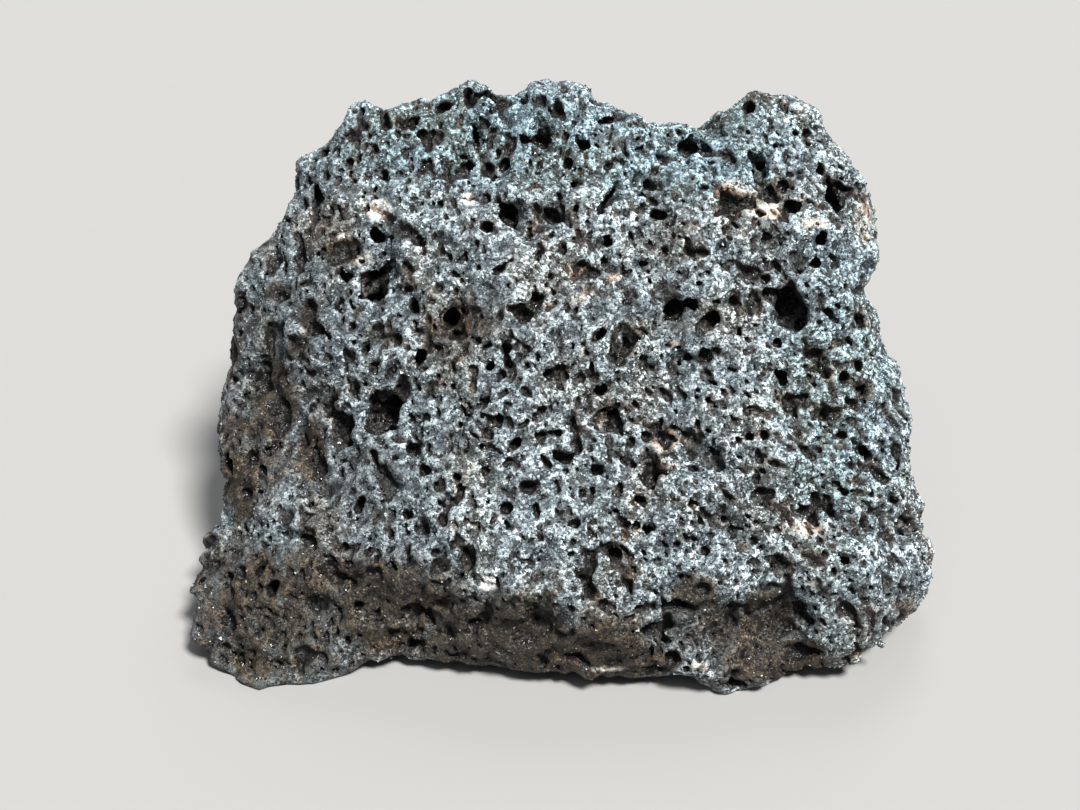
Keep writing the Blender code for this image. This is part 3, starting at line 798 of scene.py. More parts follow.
@dataclass(frozen=True)
class Foam:
    """The gas bubbles that are strewn over the stone at random, drawn out along the way that it flowed.

    Attributes:
        sighting: Which side is looked at.
        families: The families of bubbles, large ones first.
        tries: How many places are tried for each bubble.
        ground: Up to this height there are none.
        search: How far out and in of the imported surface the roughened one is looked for.
        unevenness: The range of the walls' unevenness.
        lean: How far the flow leans to the left on the right, for its height.
        lean_reach: How far to the right of the middle it leans that far.
        stray: How far a bubble strays from the flow.
        clogged: How many fewer there are where the stone is brown, as a share.
    """

    sighting: Sighting
    families: tuple[Family, ...] = (
        Family(count=120, radii=(0.8, 1.6), squeeze=2.0, stretch=1.6, sink=0.40, gap=1.15, front=0.04),
        Family(count=1350, radii=(0.28, 0.68), squeeze=2.6, stretch=2.5, sink=0.40, gap=1.15, front=0.70),
        Family(count=6600, radii=(0.16, 0.31), squeeze=1.2, stretch=2.2, sink=0.60, gap=0.98, front=1.4),
    )
    tries: int = 3
    ground: float = 0.9
    search: float = 1.4
    unevenness: Pair = (0.12, 0.36)
    lean: float = 0.9
    lean_reach: float = 18.0
    stray: float = 0.38
    clogged: float = 0.55

    def strew(
        self, shape: bmesh.types.BMesh, worked: VoxelField, bubbles: list[Bubble], draw: np.random.Generator
    ) -> None:
        """Adds each family's bubbles to those there are.

        Args:
            shape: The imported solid's closed mesh.
            worked: The roughened form.
            bubbles: The bubbles there are, which the new ones join.
            draw: The source of random numbers.
        """
        corners = np.array([[v.co[:] for v in f.verts] for f in shape.faces]) / MM
        normals = np.array([f.normal[:] for f in shape.faces])
        areas = np.array([f.calc_area() for f in shape.faces])
        in_front = self.sighting.facing(corners.mean(axis=1), normals) > 0.0
        areas *= 1.0 - self.clogged * patch_strength(Tone.BROWN, corners.mean(axis=1), self.sighting)
        for family in self.families:
            chances = areas * np.where(in_front, family.front, 1.0)
            picks = draw.choice(len(areas), family.count * self.tries, p=chances / chances.sum())
            self.join(family, self.drawn(family, corners[picks], -normals[picks], worked, draw), bubbles)

    def drawn(
        self,
        family: Family,
        corners: np.ndarray,
        inwards: np.ndarray,
        worked: VoxelField,
        draw: np.random.Generator,
    ) -> list[Bubble]:
        """Bubbles of a family at random spots, one in each of some triangles.

        Args:
            family: The family.
            corners: The triangles' corners.
            inwards: The triangles' ways in.
            worked: The roughened form.
            draw: The source of random numbers.

        Returns:
            One bubble for each triangle.
        """
        count = len(corners)
        spots = (corners * draw.dirichlet(ANY_SPOT, count)[:, :, None]).sum(axis=1)
        starts = spots - inwards * self.search
        spots = starts + inwards * worked.way_in(starts, inwards, 2.0 * self.search)[:, None]
        least, greatest = family.radii
        radii = least + (greatest - least) * draw.random(count) ** family.squeeze
        talls = self.flow(spots, inwards, draw)
        unevenness = draw.uniform(*self.unevenness, count)
        longer, deeper = draw.uniform(1.0, family.stretch, (count, 2)).T
        middles = spots + inwards * (radii * family.sink * deeper)[:, None]
        halves = np.column_stack([radii, radii * longer, radii * deeper])
        axes = np.stack([np.cross(inwards, talls), talls, inwards], axis=1)
        return [Bubble(*row) for row in zip(middles, halves, axes, unevenness, radii)]

    def flow(self, spots: np.ndarray, inwards: np.ndarray, draw: np.random.Generator) -> np.ndarray:
        """The way that bubbles are drawn out, along the surface.

        Args:
            spots: The bubbles' spots, one a row.
            inwards: The surface's way in at each.
            draw: The source of random numbers.

        Returns:
            A vector of length 1 for each spot.
        """
        across = (spots - np.array(self.sighting.middle)) @ np.array(self.sighting.right)
        leans = self.lean * np.clip(across / self.lean_reach, 0.0, 1.0)
        talls = np.array(self.sighting.up) - leans[:, None] * np.array(self.sighting.right)
        talls += draw.normal(0.0, self.stray, (len(spots), 3))
        talls -= inwards * (talls * inwards).sum(axis=1, keepdims=True)
        return talls / np.linalg.norm(talls, axis=1, keepdims=True)

    def join(self, family: Family, drawn: list[Bubble], bubbles: list[Bubble]) -> None:
        """Adds those of a family's bubbles that are clear of the ground and of others.

        Args:
            family: The family.
            drawn: The bubbles to choose from, in turn.
            bubbles: The bubbles there are, which the chosen ones join.
        """
        count = len(bubbles)
        places = np.vstack([[b.middle for b in bubbles], np.zeros((family.count, 3))])
        radii = np.append([b.radius for b in bubbles], np.zeros(family.count))
        for bubble in drawn:
            if count == len(places):
                break
            apart = np.sqrt(((places[:count] - bubble.middle) ** 2).sum(axis=1))
            clear = (apart >= (radii[:count] + bubble.radius) * family.gap).all()
            if clear and bubble.middle[2] >= self.ground:
                places[count] = bubble.middle
                radii[count] = bubble.radius
                count += 1
                bubbles.append(bubble)


@dataclass(frozen=True)
class Thinning:
    """Thins the dense surface, less on the front than elsewhere.

    Attributes:
        sighting: Which side is the front.
        triangles: How many triangles are left.
        front: How squarely a surface faces the eye, at least, to count as the front.
        weights: The thinning's weights on the front and elsewhere.
        care: How strongly the weights count.
        least_edge: The shortest edge that is left, in metres.
    """

    sighting: Sighting
    triangles: int = 195_000
    front: float = -0.05
    weights: Pair = (0.5, 1.0)
    care: float = 0.01
    least_edge: float = 1e-6

    def apply(self, piece: bpy.types.Object, box: tuple[np.ndarray, np.ndarray]) -> None:
        """Thins a piece, and brings it to metres.

        Args:
            piece: The piece, with four-sided faces and in millimetres.
            box: The least and the greatest corner that the finished mesh may reach.
        """
        mesh = piece.data
        normals = np.empty(len(mesh.vertices) * 3, np.float32)
        mesh.vertex_normals.foreach_get("vector", normals)
        seen = self.sighting.facing(vertex_places(mesh), normals.reshape(-1, 3)) > self.front
        group = piece.vertex_groups.new(name="front")
        on_front, elsewhere = self.weights
        group.add(list(range(len(seen))), elsewhere, "REPLACE")
        group.add(np.flatnonzero(seen).tolist(), on_front, "REPLACE")
        thin = piece.modifiers.new("thin", "DECIMATE")
        thin.ratio = self.triangles / (2 * len(mesh.polygons))
        thin.use_collapse_triangulate = True
        thin.vertex_group = group.name
        thin.vertex_group_factor = self.care
        graph = bpy.context.evaluated_depsgraph_get()
        finished = bpy.data.meshes.new_from_object(piece.evaluated_get(graph))
        piece.modifiers.clear()
        piece.vertex_groups.clear()
        piece.data = finished
        finished.vertices.foreach_set("co", (np.clip(vertex_places(finished), *box) * MM).ravel())
        self.mend(finished)

    def mend(self, mesh: bpy.types.Mesh) -> None:
        """Takes out faces without an area, and makes every face a triangle.

        Args:
            mesh: The finished mesh, in metres.
        """
        shape = bmesh.new()
        shape.from_mesh(mesh)
        bmesh.ops.dissolve_degenerate(shape, dist=self.least_edge, edges=shape.edges[:])
        bmesh.ops.triangulate(shape, faces=shape.faces[:])
        shape.to_mesh(mesh)
        shape.free()
        mesh.shade_smooth()


@dataclass(frozen=True)
class Relief:
    """The stone's fields that its surface is noted from.

    Attributes:
        raised: The roughened form before the bubbles were carved.
        pitless: The form without its pits.
        softer: The carved form, softened a little, which its crests stand out of.
        shallow: How deep in the pitless form a place may lie before it counts as a hollow.
    """

    raised: VoxelField
    pitless: VoxelField
    softer: VoxelField
    shallow: float = 0.7

    def note(self, mesh: bpy.types.Mesh, sighting: Sighting) -> None:
        """Notes on a mesh what its material reads: hollows, crests and patches, which it lays stains and
        painted light and shade by.

        Args:
            mesh: The mesh, in metres.
            sighting: Where the patches' places are given from.
        """
        points = vertex_places(mesh) / MM
        put(mesh, "hollow", np.maximum(-self.raised.at(points), -self.pitless.at(points) - self.shallow))
        # How far each vertex stands out of the softened form, which the material paints light and shade by.
        put(mesh, "crest_light_and_shade", self.softer.at(points))
        for tone in Tone:
            put(mesh, tone.value, patch_strength(tone, points, sighting))


@dataclass(frozen=True)
class Stone:
    """The whole stone: one closed, pitted surface in basalt.

    Attributes:
        sighting: Where its places are given from.
        name: The piece's name.
        grain: The voxels' size.
        reach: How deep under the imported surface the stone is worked.
        coarseness: How many of those voxels the pitless form's voxels are across.
        levelling: How far the pitless form is softened.
        walls: Octaves of noise that make the bubbles' walls uneven.
        crest_radius: How far the carved form is softened to find its crests.
        sliver: How far the stone may stand out of that softened form before it is cut off.
        seed: The random numbers' seed.
    """

    sighting: Sighting
    name: str = "pitted_stone"
    grain: float = 0.2
    reach: float = 3.4
    coarseness: int = 4
    levelling: float = 2.2
    walls: tuple[Pair, ...] = ((0.9, 0.75), (0.45, 0.65))
    crest_radius: float = 0.35
    sliver: float = 0.11
    seed: int = 23

    def build(self, node: bpy.types.Object) -> bpy.types.Object:
        """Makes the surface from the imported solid.

        Args:
            node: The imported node.

        Returns:
            The finished object.
        """
        draw = np.random.default_rng(self.seed)
        shape = merged_copy(node)
        form = VoxelField.around(shape, self.grain, self.reach)
        LOG.info("block of voxels: %s", form.values.shape)
        pitless = form.coarser(self.coarseness).softened(self.levelling)
        raised = Roughening().raise_on(form, draw)
        rough = sum(height * raised.noise(size, draw) for size, height in self.walls)
        rough = np.clip(rough, -ROUGH_LIMIT, ROUGH_LIMIT)
        bubbles = PitPlacing(self.sighting).bubbles(shape, raised, pitless)
        Foam(self.sighting).strew(shape, raised, bubbles, draw)
        LOG.info("bubbles: %d", len(bubbles))
        carved = raised.copy()
        for bubble in bubbles:
            carved.carve(bubble, rough)
        softer = carved.softened(self.crest_radius)
        np.maximum(carved.values, softer.values - np.float32(self.sliver), out=carved.values)
        corners = np.array([v.co[:] for v in shape.verts]) / MM
        shape.free()
        box = corners.min(axis=0), corners.max(axis=0)
        carved.keep_in(box)
        piece = new_piece(self.name, *carved.surface())
        LOG.info("faces before thinning: %d", len(piece.data.polygons))
        Thinning(self.sighting).apply(piece, box)
        Relief(raised, pitless, softer).note(piece.data, self.sighting)
        return piece

    def dress(self, piece: bpy.types.Object, basalt: bpy.types.Material) -> None:
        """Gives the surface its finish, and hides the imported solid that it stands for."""
        piece.data.materials.append(basalt)
        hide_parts(NODE)


class Skin:
    """A finished surface, read as triangles that grains are strewn on."""

    def __init__(self, piece: bpy.types.Object) -> None:
        """Reads the triangles' corners, areas and ways out.

        Args:
            piece: The finished piece, in triangles.
        """
        self.mesh = piece.data
        numbers = np.empty(len(self.mesh.loops), np.int32)
        self.mesh.loops.foreach_get("vertex_index", numbers)
        self.numbers = numbers.reshape(-1, 3)
        self.places = vertex_places(self.mesh) / MM
        self.corners = self.places[self.numbers]
        sides = self.corners[:, 1:] - self.corners[:, :1]
        across = np.cross(sides[:, 0], sides[:, 1])
        self.areas = np.linalg.norm(across, axis=1)
        self.normals = across / np.maximum(self.areas, np.finfo(float).tiny)[:, None]

    def noted(self, name: str) -> np.ndarray:
        """What the surface holds under a name, at each triangle's corners."""
        return read(self.mesh, name)[self.numbers]


class CrystalForm(Enum):
    """What a crystal grain is like: its top's width for its foot's, and its least width for its length."""

    WEDGE = (0.45, 0.55)
    LATH = (0.80, 0.35)

    @property
    def flatness(self) -> float:
        """The least width for the length."""
        return self.value[1]

    def shape(
        self, sides: int = 3, radius: float = 0.5, length: float = 0.8
    ) -> tuple[np.ndarray, np.ndarray]:
        """One crystal of this form, about 1 across.

        Args:
            sides: How many sides it has.
            radius: Its foot's radius.
            length: Its length.

        Returns:
            Its corners, and the corners' numbers of each triangle.
        """
        top = radius * self.value[0]
        crystal = bmesh.new()
        bmesh.ops.create_cone(
            crystal, cap_ends=True, cap_tris=False, segments=sides, radius1=radius, radius2=top, depth=length
        )
        bmesh.ops.triangulate(crystal, faces=crystal.faces[:])
        corners = np.array([v.co[:] for v in crystal.verts])
        faces = np.array([[v.index for v in f.verts] for f in crystal.faces])
        crystal.free()
        return corners, faces


@dataclass(frozen=True)
class Grains:
    """Small crystals that stand out of the stone's surface, joined in one piece.

    Attributes:
        name: The piece's name.
        form: The crystals' form.
        lengths: The least and the greatest length.
        front: How many there are on the side that is looked at, as a share of those elsewhere.
        seed: The random numbers' seed.
        count: How many there are at most.
        squeeze: How strongly small ones outnumber large ones.
        sunk: How deep their middles lie, as a range of shares of their lengths.
        hollow: How deep in a hollow they still grow.
        ground: Up to this height there are none.
    """

    name: str
    form: CrystalForm
    lengths: Pair
    front: float
    seed: int
    count: int = 24_500
    squeeze: float = 2.0
    sunk: Pair = (0.05, 0.35)
    hollow: float = 0.16
    ground: float = 0.8

    def build(self, skin: Skin, sighting: Sighting) -> bpy.types.Object:
        """Strews the crystals over the stone, and drops those that stand out of its box.

        Args:
            skin: The stone's finished surface.
            sighting: Which side is looked at.

        Returns:
            The joined crystals.
        """
        draw = np.random.default_rng(self.seed)
        in_front = sighting.facing(skin.corners.mean(axis=1), skin.normals) > 0.0
        open_rock = skin.noted("hollow").mean(axis=1) < self.hollow
        chances = skin.areas * np.where(in_front, self.front, 1.0) * open_rock
        chances[skin.corners[:, :, 2].min(axis=1) < self.ground] = 0.0
        picks = draw.choice(len(chances), self.count, p=chances / chances.sum())
        shares = draw.dirichlet(ANY_SPOT, self.count)
        spots = (skin.corners[picks] * shares[:, :, None]).sum(axis=1)
        grown, faces = self.grown(spots, skin.normals[picks], draw)
        inside = ((grown >= skin.places.min(axis=0)) & (grown <= skin.places.max(axis=0))).all(axis=(1, 2))
        grown, picks, shares = grown[inside], picks[inside], shares[inside]
        size = grown.shape[1]
        numbers = faces[None] + (np.arange(len(grown)) * size)[:, None, None]
        piece = new_piece(self.name, grown.reshape(-1, 3) * MM, numbers.reshape(-1, 3))
        put(piece.data, "shade", np.repeat(draw.random(len(grown)), size))
        for name in ("hollow", *(tone.value for tone in Tone)):
            put(piece.data, name, np.repeat((skin.noted(name)[picks] * shares).sum(axis=1), size))
        return piece

    def grown(
        self, spots: np.ndarray, normals: np.ndarray, draw: np.random.Generator
    ) -> tuple[np.ndarray, np.ndarray]:
        """The crystals at some spots, each turned and sized at random.

        Args:
            spots: The spots, one a row.
            normals: The surface's way out at each.
            draw: The source of random numbers.

        Returns:
            Each crystal's corners, and the corners' numbers of one crystal's triangles.
        """
        least, greatest = self.lengths
        lengths = least + (greatest - least) * draw.random(self.count) ** self.squeeze
        middles = spots - normals * (lengths * draw.uniform(*self.sunk, self.count))[:, None]
        widths = [draw.uniform(self.form.flatness, 1.0, self.count) for _ in range(2)]
        sizes = lengths[:, None] * np.column_stack([*widths, np.ones(self.count)])
        ways, _ = np.linalg.qr(draw.normal(size=(self.count, 3, 3)))
        ways *= np.sign(np.linalg.det(ways))[:, None, None]
        crystal, faces = self.form.shape()
        return np.einsum("cij,vj,cj->cvi", ways, crystal, sizes) + middles[:, None, :], faces

    def dress(self, piece: bpy.types.Object, glassy: bpy.types.Material) -> None:
        """Gives the crystals their finish."""
        piece.data.materials.append(glassy)


@dataclass(frozen=True)
class Noise:
    """Plain noise.

    Attributes:
        scale: How many lumps there are to the metre.
        detail: How many finer octaves it has.
        roughness: How strong each octave is for the one before.
    """

    scale: float
    detail: float
    roughness: float


class Wiring:
    """Adds nodes to a node tree and joins them."""

    def __init__(self, tree: bpy.types.NodeTree) -> None:
        """Keeps the tree."""
        self.tree = tree

    def add(self, kind: str, **settings: object) -> bpy.types.Node:
        """Adds a node.

        Args:
            kind: The node's kind.
            settings: Its settings' values, by their names.

        Returns:
            The new node.
        """
        node = self.tree.nodes.new(kind)
        for name, value in settings.items():
            setattr(node, name, value)
        return node

    def feed(self, socket: bpy.types.NodeSocket, source: object) -> None:
        """Joins a socket to another one, or sets it to a plain value.

        Args:
            socket: The socket.
            source: The other socket, or the value.
        """
        if isinstance(source, bpy.types.NodeSocket):
            self.tree.links.new(source, socket)
        else:
            socket.default_value = source

    def fed(self, node: bpy.types.Node, sources: dict[str | int, object]) -> bpy.types.Node:
        """Feeds a node's inputs.

        Args:
            node: The node.
            sources: The sockets or values that feed it, by the inputs' names or numbers.

        Returns:
            The same node.
        """
        for name, source in sources.items():
            self.feed(node.inputs[name], source)
        return node

    def math(self, operation: str, *sources: object) -> bpy.types.NodeSocket:
        """The result of a Math node."""
        node = self.add("ShaderNodeMath", operation=operation)
        return self.fed(node, dict(enumerate(sources))).outputs[0]

    def vector(self, operation: str, *sources: object, **named: object) -> bpy.types.Node:
        """A Vector Math node, whose result is a vector or a number."""
        node = self.add("ShaderNodeVectorMath", operation=operation)
        return self.fed(node, dict(enumerate(sources)) | named)

    def swing(self, noise: object, width: object, base: object) -> bpy.types.NodeSocket:
        """A value that noise moves up and down round where it is."""
        return self.math("MULTIPLY_ADD", self.math("SUBTRACT", noise, 0.5), width, base)

    def between(self, value: object, ends: Pair) -> bpy.types.NodeSocket:
        """A value eased from 0 at one end of a range to 1 at the other.

        Args:
            value: The value.
            ends: The range's ends.

        Returns:
            The eased value.
        """
        node = self.add("ShaderNodeMapRange", interpolation_type="SMOOTHSTEP")
        low, high = ends
        return self.fed(node, {"Value": value, "From Min": low, "From Max": high}).outputs["Result"]

    def mix(self, share: object, first: object, second: object, blend: str = "MIX") -> bpy.types.NodeSocket:
        """Two colours mixed by a share."""
        node = self.add("ShaderNodeMix", data_type="RGBA", blend_type=blend)
        return self.fed(node, {0: share, 6: first, 7: second}).outputs[2]

    def attribute(self, name: str) -> bpy.types.NodeSocket:
        """A number that the mesh holds for each vertex."""
        return self.add("ShaderNodeAttribute", attribute_name=name).outputs["Fac"]

    def noise(self, place: object, noise: Noise) -> bpy.types.NodeSocket:
        """Plain noise, from 0 to 1."""
        settings = {"Scale": noise.scale, "Detail": noise.detail, "Roughness": noise.roughness}
        return self.fed(self.add("ShaderNodeTexNoise"), {"Vector": place} | settings).outputs["Fac"]

    def ramp(self, value: object, tints: tuple[tuple[float, Colour], ...]) -> bpy.types.NodeSocket:
        """A colour for a value.

        Args:
            value: The value, from 0 to 1.
            tints: A row of colours, each at its value.

        Returns:
            The colour, blended between the two nearest.
        """
        node = self.fed(self.add("ShaderNodeValToRGB"), {"Fac": value})
        stops = node.color_ramp.elements
        for place, colour in tints[1:-1]:
            stops.new(place).color = colour
        for stop, (place, colour) in ((stops[0], tints[0]), (stops[-1], tints[-1])):
            stop.position = place
            stop.color = colour
        return node.outputs["Color"]

    def group(self, tree: bpy.types.NodeTree, sources: dict[str, object]) -> bpy.types.Node:
        """A node group placed with its inputs fed."""
        return self.fed(self.add("ShaderNodeGroup", node_tree=tree), sources)


class GroupWiring(Wiring):
    """The wiring of a new node group, with its ends."""

    def __init__(self, name: str, takes: dict[str, str], gives: dict[str, str]) -> None:
        """Makes the group.

        Args:
            name: The group's name.
            takes: Its inputs' names and kinds.
            gives: Its outputs' names and kinds.
        """
        super().__init__(bpy.data.node_groups.new(name, "ShaderNodeTree"))
        for way, sockets in (("INPUT", takes), ("OUTPUT", gives)):
            for socket, kind in sockets.items():
                self.tree.interface.new_socket(socket, in_out=way, socket_type=f"NodeSocket{kind}")
        self.taken = self.add("NodeGroupInput").outputs
        self.given = self.add("NodeGroupOutput").inputs


@dataclass(frozen=True)
class Facets:
    """The effect that gives the stone its crystals: small facets, each with its own shade and tilt.

    Attributes:
        glinting: The range of chance between which a facet begins to glint.
    """

    glinting: Pair = (0.80, 0.92)

    def group(self) -> bpy.types.NodeTree:
        """The node group.

        Returns:
            A group that takes a place and a scale and puts out a shade, a height and a glint.
        """
        outputs = {"Shade": "Float", "Height": "Float", "Glint": "Float"}
        wiring = GroupWiring("crystal_facets", {"Place": "Vector", "Scale": "Float"}, outputs)
        place, scale = wiring.taken["Place"], wiring.taken["Scale"]
        cells = wiring.fed(wiring.add("ShaderNodeTexVoronoi"), {"Vector": place, "Scale": scale}).outputs
        parts = wiring.fed(wiring.add("ShaderNodeSeparateColor"), {0: cells["Color"]}).outputs
        tilt = wiring.vector("SUBTRACT", cells["Color"], (0.5, 0.5, 0.5)).outputs[0]
        scaled = wiring.vector("SCALE", place, Scale=scale).outputs[0]
        centre = wiring.vector("SCALE", cells["Position"], Scale=scale).outputs[0]
        offset = wiring.vector("SUBTRACT", scaled, centre).outputs[0]
        wiring.feed(wiring.given["Shade"], parts[0])
        wiring.feed(wiring.given["Height"], wiring.vector("DOT_PRODUCT", offset, tilt).outputs["Value"])
        wiring.feed(wiring.given["Glint"], wiring.between(parts[1], self.glinting))
        return wiring.tree


@dataclass(frozen=True)
class WeatheringAndPaintedLight:
    """The effect that gives the stone its colour with painted light and shade: its own tints, rust, stains,
    and hollows partly painted dark.

    Attributes:
        tints: The stone's own colours, each at its shade.
        cloud: The noise that moves the shade and breaks up the stains' edges.
        broken: How far it breaks them up.
        rusty: The noise that broad rusty patches follow.
        rusting: The heights of that noise between which the rust grows.
        rust: The colour that rust tints the stone with.
        bright: The shades between which a crystal sheds the rust.
        evened: How far the brown patches, which partly paint shade, even the shade.
        even_shade: The shade that it is evened to.
        tones: The patches' colours, in the order that they are laid in: stains, brown that partly paints
            shade, painted cool light, and cream that partly paints light.
        tint_lift: How far a tinting patch is held back, and how far rust strengthens it.
        tint_edge: The strengths between which a tinting patch grows.
        fleck_edge: The strengths between which a covering patch grows.
        fleck_shades: The shades between which it goes from its dim colour to its full one.
        fleck_dim: How bright its dim colour is.
        fleck_bare: The shades between which it begins to cover, except white, which covers all.
        walls: The colours that a hollow's wall is multiplied by, where it has no rust and where it has: partly
            its brown lining, partly painted shade.
        wall_depth: The depths between which a wall takes that tint and painted shade.
        dark_lining_and_shade: The colour of a hollow's depth, near black: partly its dark glass lining, mostly
            painted shade.
        dark_depth: The depths between which a hollow is painted dark.
    """

    tints: tuple[tuple[float, Colour], ...] = (
        (0.00, (0.005, 0.007, 0.009, 1.0)),
        (0.30, (0.026, 0.033, 0.039, 1.0)),
        (0.52, (0.089, 0.117, 0.133, 1.0)),
        (0.74, (0.287, 0.351, 0.380, 1.0)),
        (0.97, (0.73, 0.81, 0.84, 1.0)),
    )
    cloud: Noise = Noise(700.0, 4.0, 0.6)
    broken: float = 1.4
    rusty: Noise = Noise(130.0, 3.0, 0.6)
    rusting: Pair = (0.42, 0.62)
    rust: Colour = (0.88, 0.70, 0.56, 1.0)
    bright: Pair = (0.46, 0.90)
    evened: float = 0.45
    even_shade: float = 0.40
    tones: tuple[tuple[Tone, Colour], ...] = (
        (Tone.BROWN, (0.29, 0.185, 0.112, 1.0)),
        (Tone.BLUE, (0.78, 0.95, 1.00, 1.0)),
        (Tone.CREAM, (0.60, 0.57, 0.52, 1.0)),
        (Tone.OCHRE, (0.47, 0.33, 0.24, 1.0)),
        (Tone.WHITE, (0.78, 0.79, 0.77, 1.0)),
    )
    tint_lift: Pair = (0.2, 0.5)
    tint_edge: Pair = (0.06, 0.66)
    fleck_edge: Pair = (0.20, 0.80)
    fleck_shades: Pair = (-0.2, 0.7)
    fleck_dim: float = 0.2
    fleck_bare: Pair = (0.05, 0.45)
    walls: tuple[Colour, Colour] = ((0.36, 0.31, 0.29, 1.0), (0.50, 0.32, 0.21, 1.0))
    wall_depth: Pair = (0.02, 0.32)
    dark_lining_and_shade: Colour = (0.0030, 0.0022, 0.0018, 1.0)
    dark_depth: Pair = (0.30, 0.85)

    def group(self) -> bpy.types.NodeTree:
        """The node group.

        Returns:
            A group that takes a place, a shade and how far clouds move it, and puts out a colour with painted
            light and shade.
        """
        inputs = {"Place": "Vector", "Shade": "Float", "Clouding": "Float"}
        wiring = GroupWiring("weathering_and_painted_light", inputs, {"Color": "Color"})
        place = wiring.taken["Place"]
        cloud = wiring.noise(place, self.cloud)
        shade = wiring.swing(cloud, wiring.taken["Clouding"], wiring.taken["Shade"])
        rust = wiring.between(wiring.noise(place, self.rusty), self.rusting)
        # The brown patches, partly painted shade, even out the shade's contrast.
        evened = wiring.math("MULTIPLY", wiring.attribute(Tone.BROWN.value), self.evened)
        shade = wiring.math("MULTIPLY_ADD", wiring.math("SUBTRACT", self.even_shade, shade), evened, shade)
        dull = wiring.math("SUBTRACT", 1.0, wiring.between(shade, self.bright))
        share = wiring.math("MULTIPLY", rust, dull)
        colour = wiring.mix(share, wiring.ramp(shade, self.tints), self.rust, "MULTIPLY")
        strength = wiring.swing(cloud, self.broken, 1.0)
        for tone, patch_colour in self.tones:
            if tone.tints:
                colour = self.tinted(wiring, tone, patch_colour, colour, strength, rust)
            else:
                colour = self.flecked(wiring, tone, patch_colour, colour, strength, shade)
        wiring.feed(wiring.given["Color"], self.hollows_lined_and_shaded(wiring, colour, rust))
        return wiring.tree

    def tinted(
        self,
        wiring: Wiring,
        tone: Tone,
        tint: Colour,
        colour: bpy.types.NodeSocket,
        strength: bpy.types.NodeSocket,
        rust: bpy.types.NodeSocket,
    ) -> bpy.types.NodeSocket:
        """A colour under a patch that tints it: brown partly paints shade and a brown reflection, and blue
        paints cool light.

        Args:
            wiring: The group's wiring.
            tone: The patch's tone.
            tint: The patch's colour.
            colour: The colour so far.
            strength: How strong the patch is here, round 1.
            rust: How rusty the stone is here.

        Returns:
            The tinted colour.
        """
        held, lifted = self.tint_lift
        strength = wiring.math("MULTIPLY_ADD", rust, lifted, wiring.math("SUBTRACT", strength, held))
        edge = wiring.math("MULTIPLY", wiring.attribute(tone.value), strength)
        return wiring.mix(wiring.between(edge, self.tint_edge), colour, tint, "MULTIPLY")

    def flecked(
        self,
        wiring: Wiring,
        tone: Tone,
        full: Colour,
        colour: bpy.types.NodeSocket,
        strength: bpy.types.NodeSocket,
        shade: bpy.types.NodeSocket,
    ) -> bpy.types.NodeSocket:
        """A colour under a patch that covers it in flecks: cream, ochre and white, with cream partly painted
        light.

        Args:
            wiring: The group's wiring.
            tone: The patch's tone.
            full: The patch's full colour.
            colour: The colour so far.
            strength: How strong the patch is here, round 1.
            shade: The stone's shade here.

        Returns:
            The flecked colour.
        """
        edge = wiring.math("MULTIPLY", wiring.attribute(tone.value), strength)
        cover = wiring.between(edge, self.fleck_edge)
        if tone is not Tone.WHITE:
            cover = wiring.math("MULTIPLY", cover, wiring.between(shade, self.fleck_bare))
        dim = (*(part * self.fleck_dim for part in full[:3]), 1.0)
        return wiring.mix(cover, colour, wiring.mix(wiring.between(shade, self.fleck_shades), dim, full))

    def hollows_lined_and_shaded(
        self, wiring: Wiring, colour: bpy.types.NodeSocket, rust: bpy.types.NodeSocket
    ) -> bpy.types.NodeSocket:
        """A colour that goes rusty and darker on a hollow's wall and near black in its depth: partly the
        hollow's brown and dark lining, partly painted shade.

        Args:
            wiring: The group's wiring.
            colour: The colour so far.
            rust: How rusty the stone is here.

        Returns:
            The finished colour.
        """
        depth = wiring.attribute("hollow")
        # Painted shade: the deeper a place lies in a hollow, the darker it is painted, near black at the
        # bottom; the walls' brown is partly the stone's own lining.
        wall_tint_and_shade = wiring.mix(rust, *self.walls)
        colour = wiring.mix(wiring.between(depth, self.wall_depth), colour, wall_tint_and_shade, "MULTIPLY")
        return wiring.mix(wiring.between(depth, self.dark_depth), colour, self.dark_lining_and_shade)


class Finish:
    """A new material with its wiring and its shader."""

    def __init__(self, name: str) -> None:
        """Makes the material, with nothing but its shader.

        Args:
            name: The material's name.
        """
        self.material = bpy.data.materials.new(name)
        self.material.use_nodes = True
        self.wiring = Wiring(self.material.node_tree)
        self.shader = self.material.node_tree.nodes["Principled BSDF"]

    def object_place(self) -> bpy.types.NodeSocket:
        """The place on the object."""
        return self.wiring.add("ShaderNodeTexCoord").outputs["Object"]


